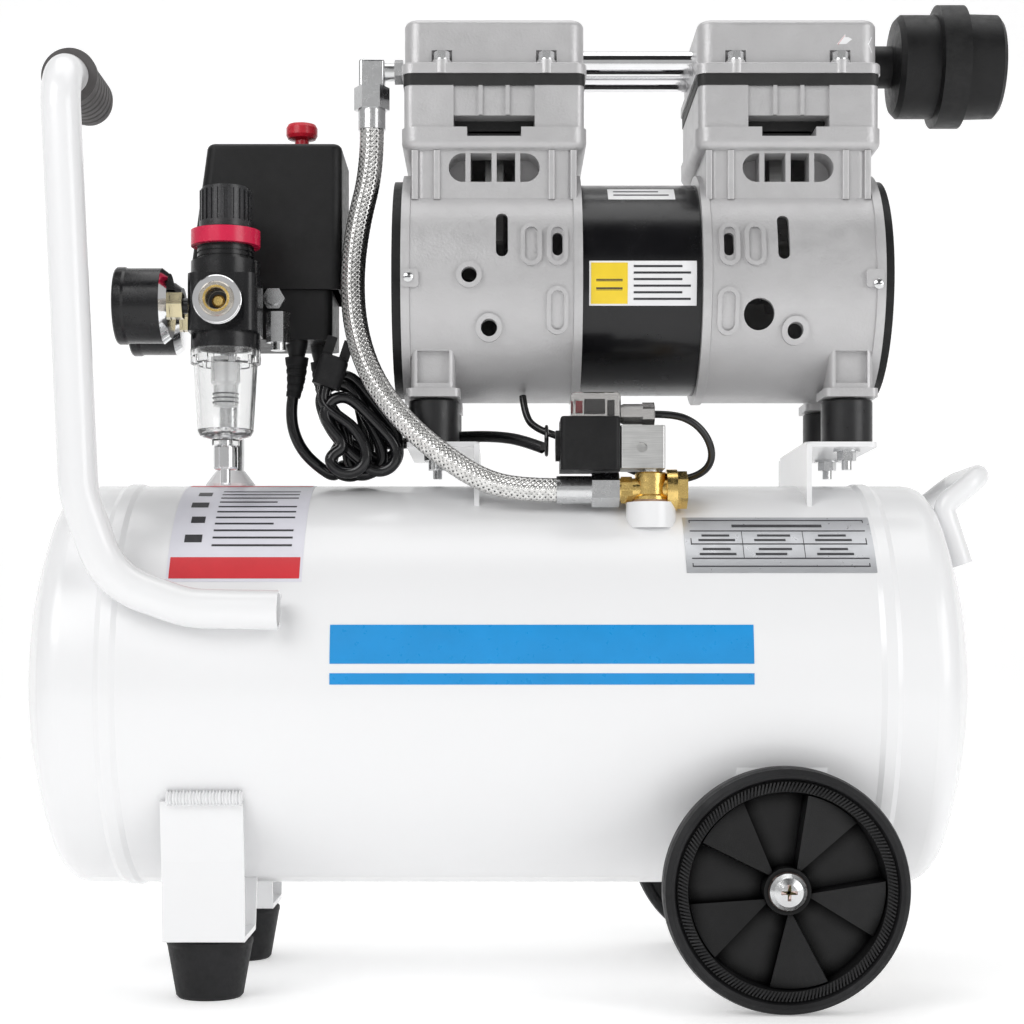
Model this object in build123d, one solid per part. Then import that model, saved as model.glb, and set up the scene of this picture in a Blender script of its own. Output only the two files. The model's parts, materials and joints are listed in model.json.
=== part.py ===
"""Oil-free twin-cylinder air compressor on a 25 litre wheeled tank.

Millimetres, +Z up, Z = 0 on the floor. The drawing is made about the tank's middle;
SHIFT_X then puts the origin under the middle of the whole object.
"""
from build123d import *
import math
import os

SHIFT_X = -13.0

# tank
TANK_R = 121.5
TANK_WALL = 2.0
TANK_Z = 180.0
TANK_TOP = TANK_Z + TANK_R
SHELL_HALF = 226.0
SEAM_WIDTH = 12.0
SEAM_RISE = 1.2
HEAD_TANGENT = 246.0
HEAD_CROWN_R = 300.0
HEAD_CENTRE = -18.0
HEAD_REACH = HEAD_TANGENT - HEAD_CENTRE
HEAD_KNUCKLE_R = (HEAD_CROWN_R ** 2 - HEAD_REACH ** 2 - TANK_R ** 2) / (2 * (HEAD_CROWN_R - TANK_R))
RISER_X = -165.0
DRAIN_X = 190.0

# handles
HANDLE_R = 11.0
HANDLE_WALL = 1.5
HANDLE_Y = -125.0
HANDLE_TOP_Z = 528.0
CROSSBAR_X = -244.0
GRIP_R = 15.0
GRIP_FRONT = -98.0
GRIP_BACK = -40.0
GRAB_R = 6.5
GRAB_HALF = 40.0

# feet and wheels
FOOT_X = (-191.0, -144.0)
FOOT_Y = 72.0
FOOT_TOP = 34.0
FOOT_TOP_R = 25.0
FOOT_BASE_R = 19.5
STRAP = 3.0
WHEEL_X = 159.5
WHEEL_R = 68.5
WHEEL_Y = 127.5
WHEEL_HALF = 11.0
RIM_R = 61.0
AXLE_R = 4.0
RUN_CLEAR = 0.05
BLADES = 5
BLADE_TURN = 35.0
BLADE_TILT = 9.0
WHEEL_DISH = 13.0
BLADE_TOP = 5.0

# pump
PUMP_Z = 422.0
DRUM_R = 68.5
DRUM_WALL = 4.0
PAD_RISE = 1.8
LIP_RISE = 1.2
DRUM_LEFT = (-57.0, 49.6)
DRUM_RIGHT = (120.0, 226.6)
PUMP_MIDDLE = 84.8
STATOR_R = 64.0
SHAFT_R = 7.0
BEARING_R = 16.0
PISTON_X = (-2.3, 171.9)
BORE_R = 30.0
CRANK_THROW = 9.0
STROKE = 18.0
NECK_Z = 497.0
VENT_Z = 487.0
TRAY_TOP = 510.0
BLOCK_TOP = 535.0
COVER_Z = 541.8
COVER_TOP = 575.6
HEAD_HALF_X = 54.8
HEAD_HALF_Y = 55.0
COVER_HALF_Y = 49.0
CROSS_Y = 18.0
CROSS_Z = 557.4
CROSS_R = 7.3

# mounting plates and rubber mounts
PLATE_Z = 324.0
PLATE_THICK = 3.0
MOUNT_X = (-38.4, 209.0)
MOUNT_Y = 36.0
MOUNT_R = 15.3
MOUNT_TOP = 350.0

# pressure switch
SWITCH_X = (-180.0, -100.0)
SWITCH_Y = 30.0
BASE_Z = (388.0, 418.0)
COVER_WALL = 2.2
KNOB_X = -121.0
GLAND_POWER = (-122.0, -22.0)
GLAND_MOTOR = (-109.0, 0.0)
GLAND_END = 378.0

# filter regulator
REG_X = -158.0
REG_Y = -75.0
REG_HALF = 20.0
REG_Z = (375.0, 426.0)
OUTLET_Z = 398.5
GAUGE_R = 22.3
GAUGE_FACE = -220.5
GAUGE_BACK = -190.0
GAUGE_Z = 400.8
GAUGE_Y = (-75.0, -27.0)

# discharge line
VALVE_X = 89.0
VALVE_Y = -70.0
PORT_Z = 294.4
BOSS_TOP = 287.0
HOSE_R = 7.0
ELBOW_X = -76.0
ELBOW_Y = -30.0

# cords
CORD_R = 3.5
LEAD_R = 2.2
HOSE_ROUTE = [(-76, -30, 514), (-76, -30, 490), (-84, -34, 457), (-87.5, -39, 424), (-85, -46, 392),
              (-75.5, -54.5, 363), (-58, -62, 338), (-36.5, -67, 318), (-11, -69.5, 300.5), (12, -70, 294.4),
              (34, -70, 294.4)]
POWER_ROUTE = [(-122, -22, 378), (-122, -22, 364), (-125.5, -22, 349.5), (-124.5, -22.5, 334),
               (-118, -23, 320.5), (-107, -23.5, 310)]
MOTOR_ROUTE = [(-109, 0, 378), (-109, 0, 368), (-106.7, 1.5, 354.8), (-100.2, 3.5, 343.1), (-90.2, 5.5, 334.1),
               (-77.9, 7.5, 329.2), (-64.5, 9, 328.5), (-48.5, 8.5, 330.5), (-31, 3, 332), (-14, -7.5, 332),
               (1, -19, 330.5), (14.5, -29, 327.5), (27, -37, 322)]
SOLENOID_ROUTE = [(91, -70, 338.5), (103, -70, 338.5), (114.5, -69, 334), (122.5, -67, 325.5), (126, -64, 315),
                  (122.5, -59, 306.5), (112, -53, 302), (97, -48.5, 302), (81, -46, 307), (65, -44.5, 315),
                  (50, -42, 323), (36, -38, 329), (24.5, -31.5, 333.5), (16.5, -25, 341), (15, -21, 355)]
HANK_BACK = -4.0
HANK_MIDDLE = -33.0
HANK_FRONT = -46.0
HANK_OUTLINE = [(-112, 352), (-110, 366), (-103, 372), (-88, 372), (-80, 364), (-55.5, 331), (-55.5, 313),
                (-62, 303), (-100, 303), (-108, 312)]
HANK_NECK_Z = 355.0
PLUG_FOOT = (-103.0, 358.4)
PLUG_LEAN = 18.0

PLACE = {
    "X": lambda u, v: Pos(0, u, v) * Rot(0, 90, 0),
    "Y": lambda u, v: Pos(u, 0, v) * Rot(-90, 0, 0),
    "Z": lambda u, v: Pos(u, v, 0),
}


def rod(axis, r, a, b, u, v):
    """Cylinder along an axis from a to b; u and v are its other two coordinates."""
    return PLACE[axis](u, v) * Pos(0, 0, (a + b) / 2) * Cylinder(r, b - a)


def ring(axis, r_out, r_in, a, b, u, v):
    """Plain ring along an axis."""
    return rod(axis, r_out, a, b, u, v) - rod(axis, r_in, a - 1, b + 1, u, v)


def hex_bar(axis, across, a, b, u, v):
    """Hexagonal bar with its flats `across` apart."""
    section = RegularPolygon(across / 2, 6, major_radius=False)
    return PLACE[axis](u, v) * Pos(0, 0, a) * extrude(section, b - a)


def turned(axis, profile, u, v):
    """Solid of revolution about an axis; profile is a closed list of (radius, place)."""
    outline = Polyline(*[(r, 0, place) for r, place in profile], close=True)
    return PLACE[axis](u, v) * revolve(make_face(outline.edges()), Axis.Z)


def block(x, y, z, edge=0.0, top=0.0):
    """Box between pairs of limits, with upright edges and top edges rounded."""
    body = Box(x[1] - x[0], y[1] - y[0], z[1] - z[0])
    if edge:
        body = fillet(body.edges().filter_by(Axis.Z), edge)
    if top:
        body = fillet(body.faces().sort_by(Axis.Z)[-1].edges(), top)
    return Pos((x[0] + x[1]) / 2, (y[0] + y[1]) / 2, (z[0] + z[1]) / 2) * body


def front_prism(sketch, y_near, y_far):
    """Extrusion along Y of a sketch that is drawn in X and Z."""
    return extrude(Plane.XZ.offset(-y_far) * sketch, y_far - y_near)


def ribbon(points, thick):
    """Outline of a bent strip that follows points, with round bends."""
    outline = Sketch()
    for a, b in zip(points, points[1:]):
        turn = math.degrees(math.atan2(b[1] - a[1], b[0] - a[0]))
        middle = Pos((a[0] + b[0]) / 2, (a[1] + b[1]) / 2)
        outline += middle * Rot(0, 0, turn) * Rectangle(math.dist(a, b), thick)
    for point in points[1:-1]:
        outline += Pos(*point) * Circle(thick / 2)
    return outline


def pipe(points, radii, r):
    """Round bar along straight runs joined by tangent arcs."""
    path = FilletPolyline(*points, radius=radii)
    return sweep(Plane(path @ 0, z_dir=path % 0) * Circle(r), path=path)


def cord_radii(points):
    """Arc radius for each corner of a cord, as large as its two runs allow."""
    radii = []
    for before, here, after in zip(points, points[1:], points[2:]):
        run_in = Vector(*here) - Vector(*before)
        run_out = Vector(*after) - Vector(*here)
        half_turn = math.radians(run_in.get_angle(run_out)) / 2
        radii.append(0.45 * min(run_in.length, run_out.length) / math.tan(half_turn))
    return radii


def cord(name, points, r):
    """Cord along a route; prints its length and tightest arcs."""
    radii = cord_radii(points)
    solid = pipe(points, radii, r)
    length = solid.volume / (math.pi * r * r)
    path = FilletPolyline(*points, radius=radii)
    print(name, "length", round(path.length, 1), "from volume", round(length, 1),
          "radii", [round(value) for value in radii])
    return solid


def save(node, *solids):
    """Write one node, moved so that the origin is under the middle of the object."""
    moved = [Pos(SHIFT_X, 0, 0) * solid for solid in solids]
    whole = moved[0] if len(moved) == 1 else Compound(children=moved)
    export_step(whole, os.path.join("parts", node + ".step"))


# ---------------------------------------------------------------- tank

def head_solid(inset):
    """Right-hand dished end as a full solid, shrunk by inset."""
    radius = TANK_R - inset
    knuckle = HEAD_KNUCKLE_R - inset
    crown = HEAD_CROWN_R - inset
    knuckle_y = TANK_R - HEAD_KNUCKLE_R
    lean = math.degrees(math.atan2(knuckle_y, HEAD_REACH))
    apex = HEAD_CENTRE + crown
    edges = [
        Line((SHELL_HALF, 0), (SHELL_HALF, radius)),
        Line((SHELL_HALF, radius), (HEAD_TANGENT, radius)),
        CenterArc((HEAD_TANGENT, knuckle_y), knuckle, 90, lean - 90),
        CenterArc((HEAD_CENTRE, 0), crown, lean, -lean),
        Line((apex, 0), (SHELL_HALF, 0)),
    ]
    plane = Plane((0, 0, TANK_Z), x_dir=(1, 0, 0), z_dir=(0, -1, 0))
    return revolve(plane * make_face(edges), Axis((0, 0, TANK_Z), (1, 0, 0)))


HEAD_SOLID = head_solid(0.0)
TANK_SOLID = rod("X", TANK_R, -SHELL_HALF, SHELL_HALF, 0, TANK_Z) + HEAD_SOLID + mirror(HEAD_SOLID, Plane.YZ)


def tank_shell():
    """Rolled shell with its two raised weld seams and its threaded bosses."""
    shell = rod("X", TANK_R, -SHELL_HALF, SHELL_HALF, 0, TANK_Z)
    for side in (-1, 1):
        a, b = sorted((side * SHELL_HALF, side * (SHELL_HALF - SEAM_WIDTH)))
        rise = TANK_R + SEAM_RISE
        profile = [(TANK_R - 1, a), (TANK_R, a), (rise, a + 3), (rise, b - 3), (TANK_R, b), (TANK_R - 1, b)]
        shell += turned("X", profile, 0, TANK_Z)
    shell += rod("Z", 14.5, 272, BOSS_TOP, VALVE_X, VALVE_Y)
    shell += turned("Z", [(0, 296), (16, 296), (15, 303), (9, 311), (0, 311)], RISER_X, 0)
    shell += rod("Z", 9, 52.5, 62, DRAIN_X, 0)
    shell -= rod("X", TANK_R - TANK_WALL, -SHELL_HALF - 1, SHELL_HALF + 1, 0, TANK_Z)
    shell -= rod("Z", 6.5, 262, BOSS_TOP + 1, VALVE_X, VALVE_Y)
    shell -= rod("Z", 5.0, 290, 312, RISER_X, 0)
    shell -= rod("Z", 4.0, 50, 66, DRAIN_X, 0)
    return shell


def tank_heads():
    right = HEAD_SOLID - head_solid(TANK_WALL)
    return right, mirror(right, Plane.YZ)


def push_handle():
    """Single bent tube, welded along the tank's front shoulder."""
    points = [(-122, HANDLE_Y, 223.6), (-172, HANDLE_Y, 224.5), (-216, HANDLE_Y, 240), (-233, HANDLE_Y, 288),
              (CROSSBAR_X, HANDLE_Y, HANDLE_TOP_Z), (CROSSBAR_X, GRIP_BACK - 1.5, HANDLE_TOP_Z)]
    radii = [60, 42, 60, 26]
    bar = pipe(points, radii, HANDLE_R)
    bar -= rod("X", HANDLE_R - HANDLE_WALL, -150, -121, HANDLE_Y, 223.8)
    return bar - TANK_SOLID


def handle_grip():
    """Ribbed rubber sleeve with a closed end."""
    profile = [(HANDLE_R, GRIP_FRONT), (GRIP_R + 1.0, GRIP_FRONT), (GRIP_R + 1.0, GRIP_FRONT + 4)]
    pitch = 7.0
    place = GRIP_FRONT + 5
    while place + pitch < GRIP_BACK:
        profile += [(GRIP_R - 1.2, place), (GRIP_R, place + 1.2), (GRIP_R, place + pitch - 1.6)]
        profile += [(GRIP_R - 1.2, place + pitch - 0.6)]
        place += pitch
    profile += [(GRIP_R - 1.2, GRIP_BACK), (GRIP_R - 4, GRIP_BACK + 1.6), (0, GRIP_BACK + 1.6)]
    profile += [(0, GRIP_BACK - 1.5), (HANDLE_R, GRIP_BACK - 1.5)]
    return turned("Y", profile, CROSSBAR_X, HANDLE_TOP_Z)


def grab_handle():
    """Bent tube on the right-hand end, its two legs lying on the dome."""
    leg = [(277, 252), (265.5, 287), (289, 306)]
    points = [(x, -GRAB_HALF, z) for x, z in leg]
    points += [(x, GRAB_HALF, z) for x, z in reversed(leg)]
    return pipe(points, [9, 13, 13, 9], GRAB_R) - TANK_SOLID


def leg_brackets():
    """Two bent foot straps and two axle plates with gussets, all welded to the tank."""
    legs = []
    width = FOOT_X[1] - FOOT_X[0]
    for side in (-1, 1):
        line = [(-106, 116), (-100.5, 81), (-98.5, FOOT_TOP + 2.5), (-47, FOOT_TOP + 2.5), (-37, 72)]
        outline = ribbon(line, STRAP)
        strap = extrude(Plane.YZ.offset(FOOT_X[0]) * outline, width)
        strap -= rod("Z", 4.2, FOOT_TOP - 5, FOOT_TOP + 10, sum(FOOT_X) / 2, -FOOT_Y)
        strap -= TANK_SOLID
        legs.append(strap if side < 0 else mirror(strap, Plane.XZ))
    for side in (-1, 1):
        plate = block((134, 185), (-113, -109), (50, 136))
        plate += block((134, 138), (-113, -62), (62, 130))
        plate += block((181, 185), (-113, -62), (62, 130))
        plate -= TANK_SOLID
        plate -= rod("Y", AXLE_R, -120, -100, WHEEL_X, WHEEL_R)
        legs.append(plate if side < 0 else mirror(plate, Plane.XZ))
    return legs


def rubber_feet():
    x = sum(FOOT_X) / 2
    profile = [(0, 0), (FOOT_BASE_R - 1.5, 0), (FOOT_BASE_R, 1.5), (FOOT_TOP_R - 0.5, FOOT_TOP - 4)]
    profile += [(FOOT_TOP_R, FOOT_TOP - 2.5), (FOOT_TOP_R, FOOT_TOP - 0.5), (FOOT_TOP_R - 0.5, FOOT_TOP)]
    profile += [(4.2, FOOT_TOP), (4.2, 8), (0, 8)]
    return [turned("Z", profile, x, side * FOOT_Y) for side in (-1, 1)]


def wheel_hub(side):
    """Moulded wheel centre with five raised blades."""
    face = WHEEL_Y + WHEEL_HALF
    back = WHEEL_Y - WHEEL_HALF
    profile = [(AXLE_R + RUN_CLEAR, back + 1), (13, back + 1), (13, back + 4), (52, back + 4), (52, back + 3),
               (RIM_R, back + 3), (RIM_R, face - 3), (58, face - 2), (55, face - 2), (53.5, face - WHEEL_DISH),
               (14, face - WHEEL_DISH), (13, face - 3), (AXLE_R + RUN_CLEAR, face - 3)]
    hub = turned("Y", profile, 0, 0)
    for index in range(BLADES):
        lean = math.radians(61 + index * 360 / BLADES)
        reach = 60.0
        half = math.radians(BLADE_TURN / 2)
        left = (reach * math.cos(lean - half), reach * math.sin(lean - half))
        right = (reach * math.cos(lean + half), reach * math.sin(lean + half))
        tip = (10 * math.cos(lean), 10 * math.sin(lean))
        wedge = make_face(Polyline(tip, left, right, close=True).edges())
        blade = front_prism(wedge, -(face - BLADE_TOP), -(face - 20))
        lean_axis = Axis((0, -(face - BLADE_TOP), 0), (tip[0], 0, tip[1]))
        blade = blade.rotate(lean_axis, BLADE_TILT)
        blade &= ring("Y", 54, 12, -(face - 2.5), -(face - WHEEL_DISH - 1), 0, 0)
        hub += mirror(blade, Plane.XZ)
    placed = hub if side > 0 else mirror(hub, Plane.XZ)
    return Pos(WHEEL_X, 0, WHEEL_R) * placed


def wheel_tyre(side):
    """Solid rubber tyre with rounded shoulders."""
    face = WHEEL_Y + WHEEL_HALF
    back = WHEEL_Y - WHEEL_HALF
    profile = [(RIM_R, back + 4), (RIM_R + 1.5, back + 1.5), (RIM_R + 4, back), (WHEEL_R - 4, back),
               (WHEEL_R - 1, back + 2), (WHEEL_R, back + 6), (WHEEL_R, face - 6), (WHEEL_R - 1, face - 2),
               (WHEEL_R - 4, face), (RIM_R + 4, face), (RIM_R + 1.5, face - 1.5), (RIM_R, face - 4)]
    tyre = turned("Y", profile, WHEEL_X, WHEEL_R)
    return tyre if side > 0 else mirror(tyre, Plane.XZ)


def axle_bolt(side):
    """Shoulder bolt with a domed cross-recessed head, washer face and lock nut."""
    face = WHEEL_Y + WHEEL_HALF
    profile = [(0, 100), (AXLE_R, 100), (AXLE_R, face - 2.7), (10.5, face - 2.7), (10.2, face),
               (8.0, face + 2.2), (4.5, face + 3.6), (0, face + 4.1)]
    bolt = turned("Y", profile, WHEEL_X, WHEEL_R)
    bolt -= Pos(WHEEL_X, face + 3, WHEEL_R) * Box(2.0, 4, 9)
    bolt -= Pos(WHEEL_X, face + 3, WHEEL_R) * Box(9, 4, 2.0)
    bolt += hex_bar("Y", 13, 102, 109, WHEEL_X, WHEEL_R)
    return bolt if side > 0 else mirror(bolt, Plane.XZ)


# ---------------------------------------------------------------- motor and pump

def on_drum(sketch, rise, side):
    """Raised pad that follows the drum's front surface."""
    skin = rod("X", DRUM_R + rise, side[0], side[1], 0, PUMP_Z)
    return front_prism(sketch, -DRUM_R - 8, 0) & skin


def oval(x, z, wide, high):
    return Pos(x, z) * SlotOverall(high, wide, rotation=90)


def crankcase(span, pads, slot, bosses, panel_x, lug_x, open_hole):
    """Cast housing: drum, neck with its vent window, and two mounting feet."""
    inner_end = span[1] if span[0] < 0 else span[0]
    x_mid = PISTON_X[0] if span[0] < 0 else PISTON_X[1]
    case = rod("X", DRUM_R, span[0], span[1], 0, PUMP_Z)
    lips = [(DRUM_R - 1, span[0]), (DRUM_R + LIP_RISE, span[0]), (DRUM_R + LIP_RISE, span[0] + 5),
            (DRUM_R - 1, span[0] + 6)]
    case += turned("X", lips, 0, PUMP_Z)
    lips = [(r, span[0] + span[1] - place) for r, place in lips]
    case += turned("X", lips, 0, PUMP_Z)
    case += block((x_mid - 48, x_mid + 48), (-50, 50), (PUMP_Z + 20, NECK_Z), edge=6)
    for x in (x_mid - 47, x_mid - 34, x_mid + 34, x_mid + 47):
        case += block((x - 2, x + 2), (-52, 52), (468, NECK_Z), edge=1)
    for x, z, wide, high in pads:
        case += on_drum(oval(x, z, wide, high) - oval(x, z, wide - 5, high - 5), PAD_RISE, span)
    for x, z, boss_r, _ in bosses:
        case += on_drum(Pos(x, z) * Circle(boss_r), 2.4, span)
    case += on_drum(Pos(lug_x, 418) * RectangleRounded(10.5, 10.5, 2), 2.2, span)
    for side in (-1, 1):
        foot = block((panel_x - 13, panel_x + 13), (-53, -20), (355, PUMP_Z - 6), edge=4)
        foot += block((panel_x - 16, panel_x + 16), (-54, -19), (MOUNT_TOP + 1, 356), edge=4)
        case += foot if side < 0 else mirror(foot, Plane.XZ)
    hollow = rod("X", DRUM_R - DRUM_WALL, span[0] - 1, span[1] + 1, 0, PUMP_Z)
    wall = (inner_end - 5, inner_end) if span[0] < 0 else (inner_end, inner_end + 5)
    hollow -= rod("X", DRUM_R, wall[0], wall[1], 0, PUMP_Z)
    hub = (wall[0] - 6, wall[1]) if span[0] < 0 else (wall[0], wall[1] + 6)
    hollow -= rod("X", BEARING_R + 5, hub[0], hub[1], 0, PUMP_Z)
    case -= hollow
    case -= rod("X", BEARING_R, hub[0] - 1, hub[1] + 1, 0, PUMP_Z)
    case -= rod("Z", BORE_R + 3, PUMP_Z, NECK_Z + 1, x_mid, 0)
    window = Pos(x_mid, VENT_Z) * SlotOverall(54, 17)
    bars = Sketch()
    for offset in (-15.5, 0, 14):
        bars += Pos(x_mid + offset, VENT_Z) * Rectangle(3, 20)
    case -= front_prism(window - bars, -56, -BORE_R)
    case -= front_prism(oval(*slot), -80, -30)
    for x, z, _, hole_r in bosses:
        case -= front_prism(Pos(x, z) * Circle(hole_r), -80, -30)
    case -= front_prism(oval(*open_hole), -80, -30)
    for side in (-1, 1):
        pocket = block((panel_x - 9.3, panel_x + 9.3), (-55, -49), (359, 378))
        case -= pocket if side < 0 else mirror(pocket, Plane.XZ)
    return case


def crankcases():
    left = crankcase(DRUM_LEFT, [(19.5, 438.5, 12.5, 26), (34.8, 438.5, 12.5, 26), (34.8, 400, 12.8, 27)],
                     (2.3, 444.5, 7, 27), [(-16.9, 420, 7.5, 4.6), (-5.3, 390.2, 7.8, 4.8)],
                     MOUNT_X[0], -51.6, (34.8, 438.5, 6, 14))
    right = crankcase(DRUM_RIGHT, [(135.4, 438.5, 12, 26), (150.4, 438.5, 12.5, 26), (134.8, 399.5, 12.8, 27)],
                      (167.2, 443, 7, 27), [(174.5, 388.6, 8, 4.7), (153, 398, 0.1, 9)],
                      MOUNT_X[1], 220, (135.0, 438.5, 6, 14))
    return left, right


def cylinder_block(x):
    """Cylinder casting: flared tray below, straight block above, bored for the piston."""
    half = HEAD_HALF_X
    tray = block((x - half, x + half), (-HEAD_HALF_Y, HEAD_HALF_Y), (NECK_Z, TRAY_TOP), edge=9)
    tray = fillet(tray.faces().sort_by(Axis.Z)[0].edges(), 5)
    upper = block((x - half + 1.5, x + half - 1.5), (-HEAD_HALF_Y + 1.5, HEAD_HALF_Y - 1.5), (TRAY_TOP - 1, BLOCK_TOP), edge=5)
    body = tray + upper
    for side in (-1, 1):
        recess = block((x - 24, x + 24), (-60, -51.5), (517, BLOCK_TOP + 1))
        for rib_x in (-8, 8):
            recess -= block((x + rib_x - 1.2, x + rib_x + 1.2), (-53.5, -50), (517, BLOCK_TOP + 1))
        notch = block((x - 24, x + 24), (-60, -36), (TRAY_TOP, 517.5))
        notch += block((x - 16, x + 16), (-60, -36), (504.5, TRAY_TOP + 1))
        cut = recess + notch
        body -= cut if side < 0 else mirror(cut, Plane.XZ)
    return body - rod("Z", BORE_R, NECK_Z - 1, BLOCK_TOP + 1, x, 0)


def head_cover(x, port_side):
    """Cast head cover: screwed flange, plain rounded box with scoops for the screws, tube sockets."""
    half = HEAD_HALF_X
    cover = block((x - half, x + half), (-HEAD_HALF_Y, HEAD_HALF_Y), (COVER_Z, COVER_Z + 6.5), edge=7, top=1.5)
    cover += block((x - half + 1.5, x + half - 1.5), (-COVER_HALF_Y, COVER_HALF_Y), (COVER_Z + 6, COVER_TOP),
                   edge=9, top=4)
    for sx in (-31, 31):
        for sy in (-50, 50):
            cover += rod("Z", 5.6, COVER_Z, COVER_Z + 8, x + sx, sy)
            cover -= rod("Z", 6.2, COVER_Z + 8, COVER_Z + 15, x + sx, sy)
    cover -= block((x - half + 8, x + half - 8), (-40, 40), (COVER_Z - 1, COVER_TOP - 6), edge=5)
    for sy in (-CROSS_Y, CROSS_Y):
        inner = (x + half - 10, x + half + 1) if port_side > 0 else (x - half - 1, x - half + 10)
        cover -= rod("X", CROSS_R, inner[0], inner[1], sy, CROSS_Z)
    return cover


def gasket(x):
    plate = block((x - HEAD_HALF_X + 1, x + HEAD_HALF_X - 1), (-HEAD_HALF_Y + 1, HEAD_HALF_Y - 1),
                  (BLOCK_TOP, COVER_Z), edge=5)
    for sx in (-10, 10):
        plate -= rod("Z", 5, BLOCK_TOP - 1, COVER_Z + 1, x + sx, 0)
    return plate


def head_screws():
    screws = []
    for x in PISTON_X:
        for sx in (-31, 31):
            for sy in (-50, 50):
                washer = rod("Z", 4.9, COVER_Z + 8, COVER_Z + 9, x + sx, sy)
                screws.append(washer + hex_bar("Z", 8, COVER_Z + 9, COVER_Z + 13.5, x + sx, sy))
    return screws


def piston(x):
    """Cup piston, rod and big end, drawn at the top of its stroke."""
    crown = rod("Z", BORE_R - RUN_CLEAR, 524, 533.5, x, 0)
    crown += block((x - 5.5, x + 5.5), (-9, 9), (PUMP_Z + CRANK_THROW + 18.5, 526))
    big_end = PUMP_Z + CRANK_THROW
    return crown + ring("X", 22.5, 17.5, x - 5.5, x + 5.5, 0, big_end)


def motor_shaft():
    """Through shaft with one eccentric beside each big end."""
    shaft = rod("X", SHAFT_R, -52, 221.6, 0, PUMP_Z)
    inner = (PISTON_X[0] + 7, PISTON_X[0] + 19)
    shaft += rod("X", 16.5, inner[0], inner[1], 0, PUMP_Z + CRANK_THROW)
    inner = (PISTON_X[1] - 19, PISTON_X[1] - 7)
    return shaft + rod("X", 16.5, inner[0], inner[1], 0, PUMP_Z + CRANK_THROW)


def bearing(a, b):
    return ring("X", BEARING_R, SHAFT_R + RUN_CLEAR, a, b, 0, PUMP_Z)


def cooling_fan(a, b):
    """Axial fan: hub, rim and seven pitched blades."""
    fan = ring("X", 15, SHAFT_R, a, b, 0, PUMP_Z)
    fan += ring("X", 58, 56, a + 1, b - 1, 0, PUMP_Z)
    blades = 7
    for index in range(blades):
        vane = Pos((a + b) / 2, 0, 35.5) * Rot(0, 0, 35) * Box(2, 14, 43)
        fan += Pos(0, 0, PUMP_Z) * Rot(360 / blades * index, 0, 0) * vane
    return fan


def end_cover(a, b):
    """Black slotted cover over a fan."""
    cover = rod("X", DRUM_R - 2.5, a, b, 0, PUMP_Z)
    for radius in (20, 32, 44, 56):
        slot = ring("X", radius + 3, radius - 3, a - 1, b + 1, 0, PUMP_Z)
        for turn in (0, 45, 90, 135):
            slot -= Pos((a + b) / 2, 0, PUMP_Z) * Rot(turn, 0, 0) * Box(b - a + 4, 7, 140)
        cover -= slot
    outer = (a - 1.8, a) if a < 0 else (b, b + 1.8)
    return cover + rod("X", 17, outer[0], outer[1], 0, PUMP_Z)


def motor_bracket(x0, x1, leg_x, mount_x):
    """Folded plate that carries two rubber mounts."""
    low = PLATE_Z - PLATE_THICK
    plate = block((x0, x1), (-56, 56), (low, PLATE_Z), edge=4)
    plate += block((leg_x, leg_x + PLATE_THICK), (-60, 60), (262, PLATE_Z - 1.5))
    for side in (-1, 1):
        plate -= rod("Z", 3.2, low - 1, PLATE_Z + 1, mount_x, side * MOUNT_Y)
    return plate - TANK_SOLID


def rubber_mounts():
    waist = [(0, PLATE_Z), (MOUNT_R - 0.6, PLATE_Z), (MOUNT_R, PLATE_Z + 1), (MOUNT_R, MOUNT_TOP - 1),
             (MOUNT_R - 0.6, MOUNT_TOP), (0, MOUNT_TOP)]
    return [turned("Z", waist, x, side * MOUNT_Y) for x in MOUNT_X for side in (-1, 1)]


def stud(x, y):
    """Stud, washer and nut under a mounting plate."""
    low = PLATE_Z - PLATE_THICK
    body = rod("Z", 3.0, low - 12, PLATE_Z, x, y)
    body += rod("Z", 8, low - 1.4, low, x, y)
    return body + hex_bar("Z", 10, low - 6.6, low - 1.4, x, y)


def foot_bolt(side):
    """Bolt through a foot strap into its rubber foot."""
    x = sum(FOOT_X) / 2
    seat = FOOT_TOP + 4
    body = rod("Z", 4, 9, seat, x, side * FOOT_Y)
    return body + hex_bar("Z", 13, seat, seat + 5, x, side * FOOT_Y)


# ---------------------------------------------------------------- intake and discharge

def filter_housing():
    neck = PISTON_X[1] + HEAD_HALF_X
    profile = [(9, neck), (12.6, neck), (12.6, neck + 15), (28, neck + 17), (31, neck + 20), (31, neck + 41),
               (36.8, neck + 42), (36.8, neck + 50), (28.5, neck + 50), (28.5, neck + 20), (9, neck + 20)]
    return turned("X", profile, 0, 560.4)


def filter_cap():
    start = PISTON_X[1] + HEAD_HALF_X + 50
    profile = [(0, 308), (28, 308), (31, 305.5), (31.5, start + 9), (36.8, start + 8), (36.8, start),
               (28.5, start), (28.5, 305), (0, 305)]
    return turned("X", profile, 0, 560.4)


def discharge_fittings():
    """Elbow, nuts and ferrules at the two ends of the braided hose."""
    head_side = PISTON_X[0] - HEAD_HALF_X
    elbow = block((ELBOW_X - 7.5, ELBOW_X + 8), (ELBOW_Y - 7, ELBOW_Y + 7), (539.5, 555.8), edge=2, top=2)
    elbow += rod("X", 5.4, ELBOW_X + 7, head_side, ELBOW_Y, 549)
    elbow += hex_bar("X", 13, head_side - 5, head_side, ELBOW_Y, 549)
    upper = hex_bar("Z", 18.5, 526, 539.5, ELBOW_X, ELBOW_Y)
    upper += rod("Z", 8.2, 514, 526, ELBOW_X, ELBOW_Y)
    lower = rod("X", 8.2, 34, 54.5, VALVE_Y, PORT_Z)
    lower += hex_bar("X", 17.5, 54.5, 70.5, VALVE_Y, PORT_Z)
    return elbow, upper, lower


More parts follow.
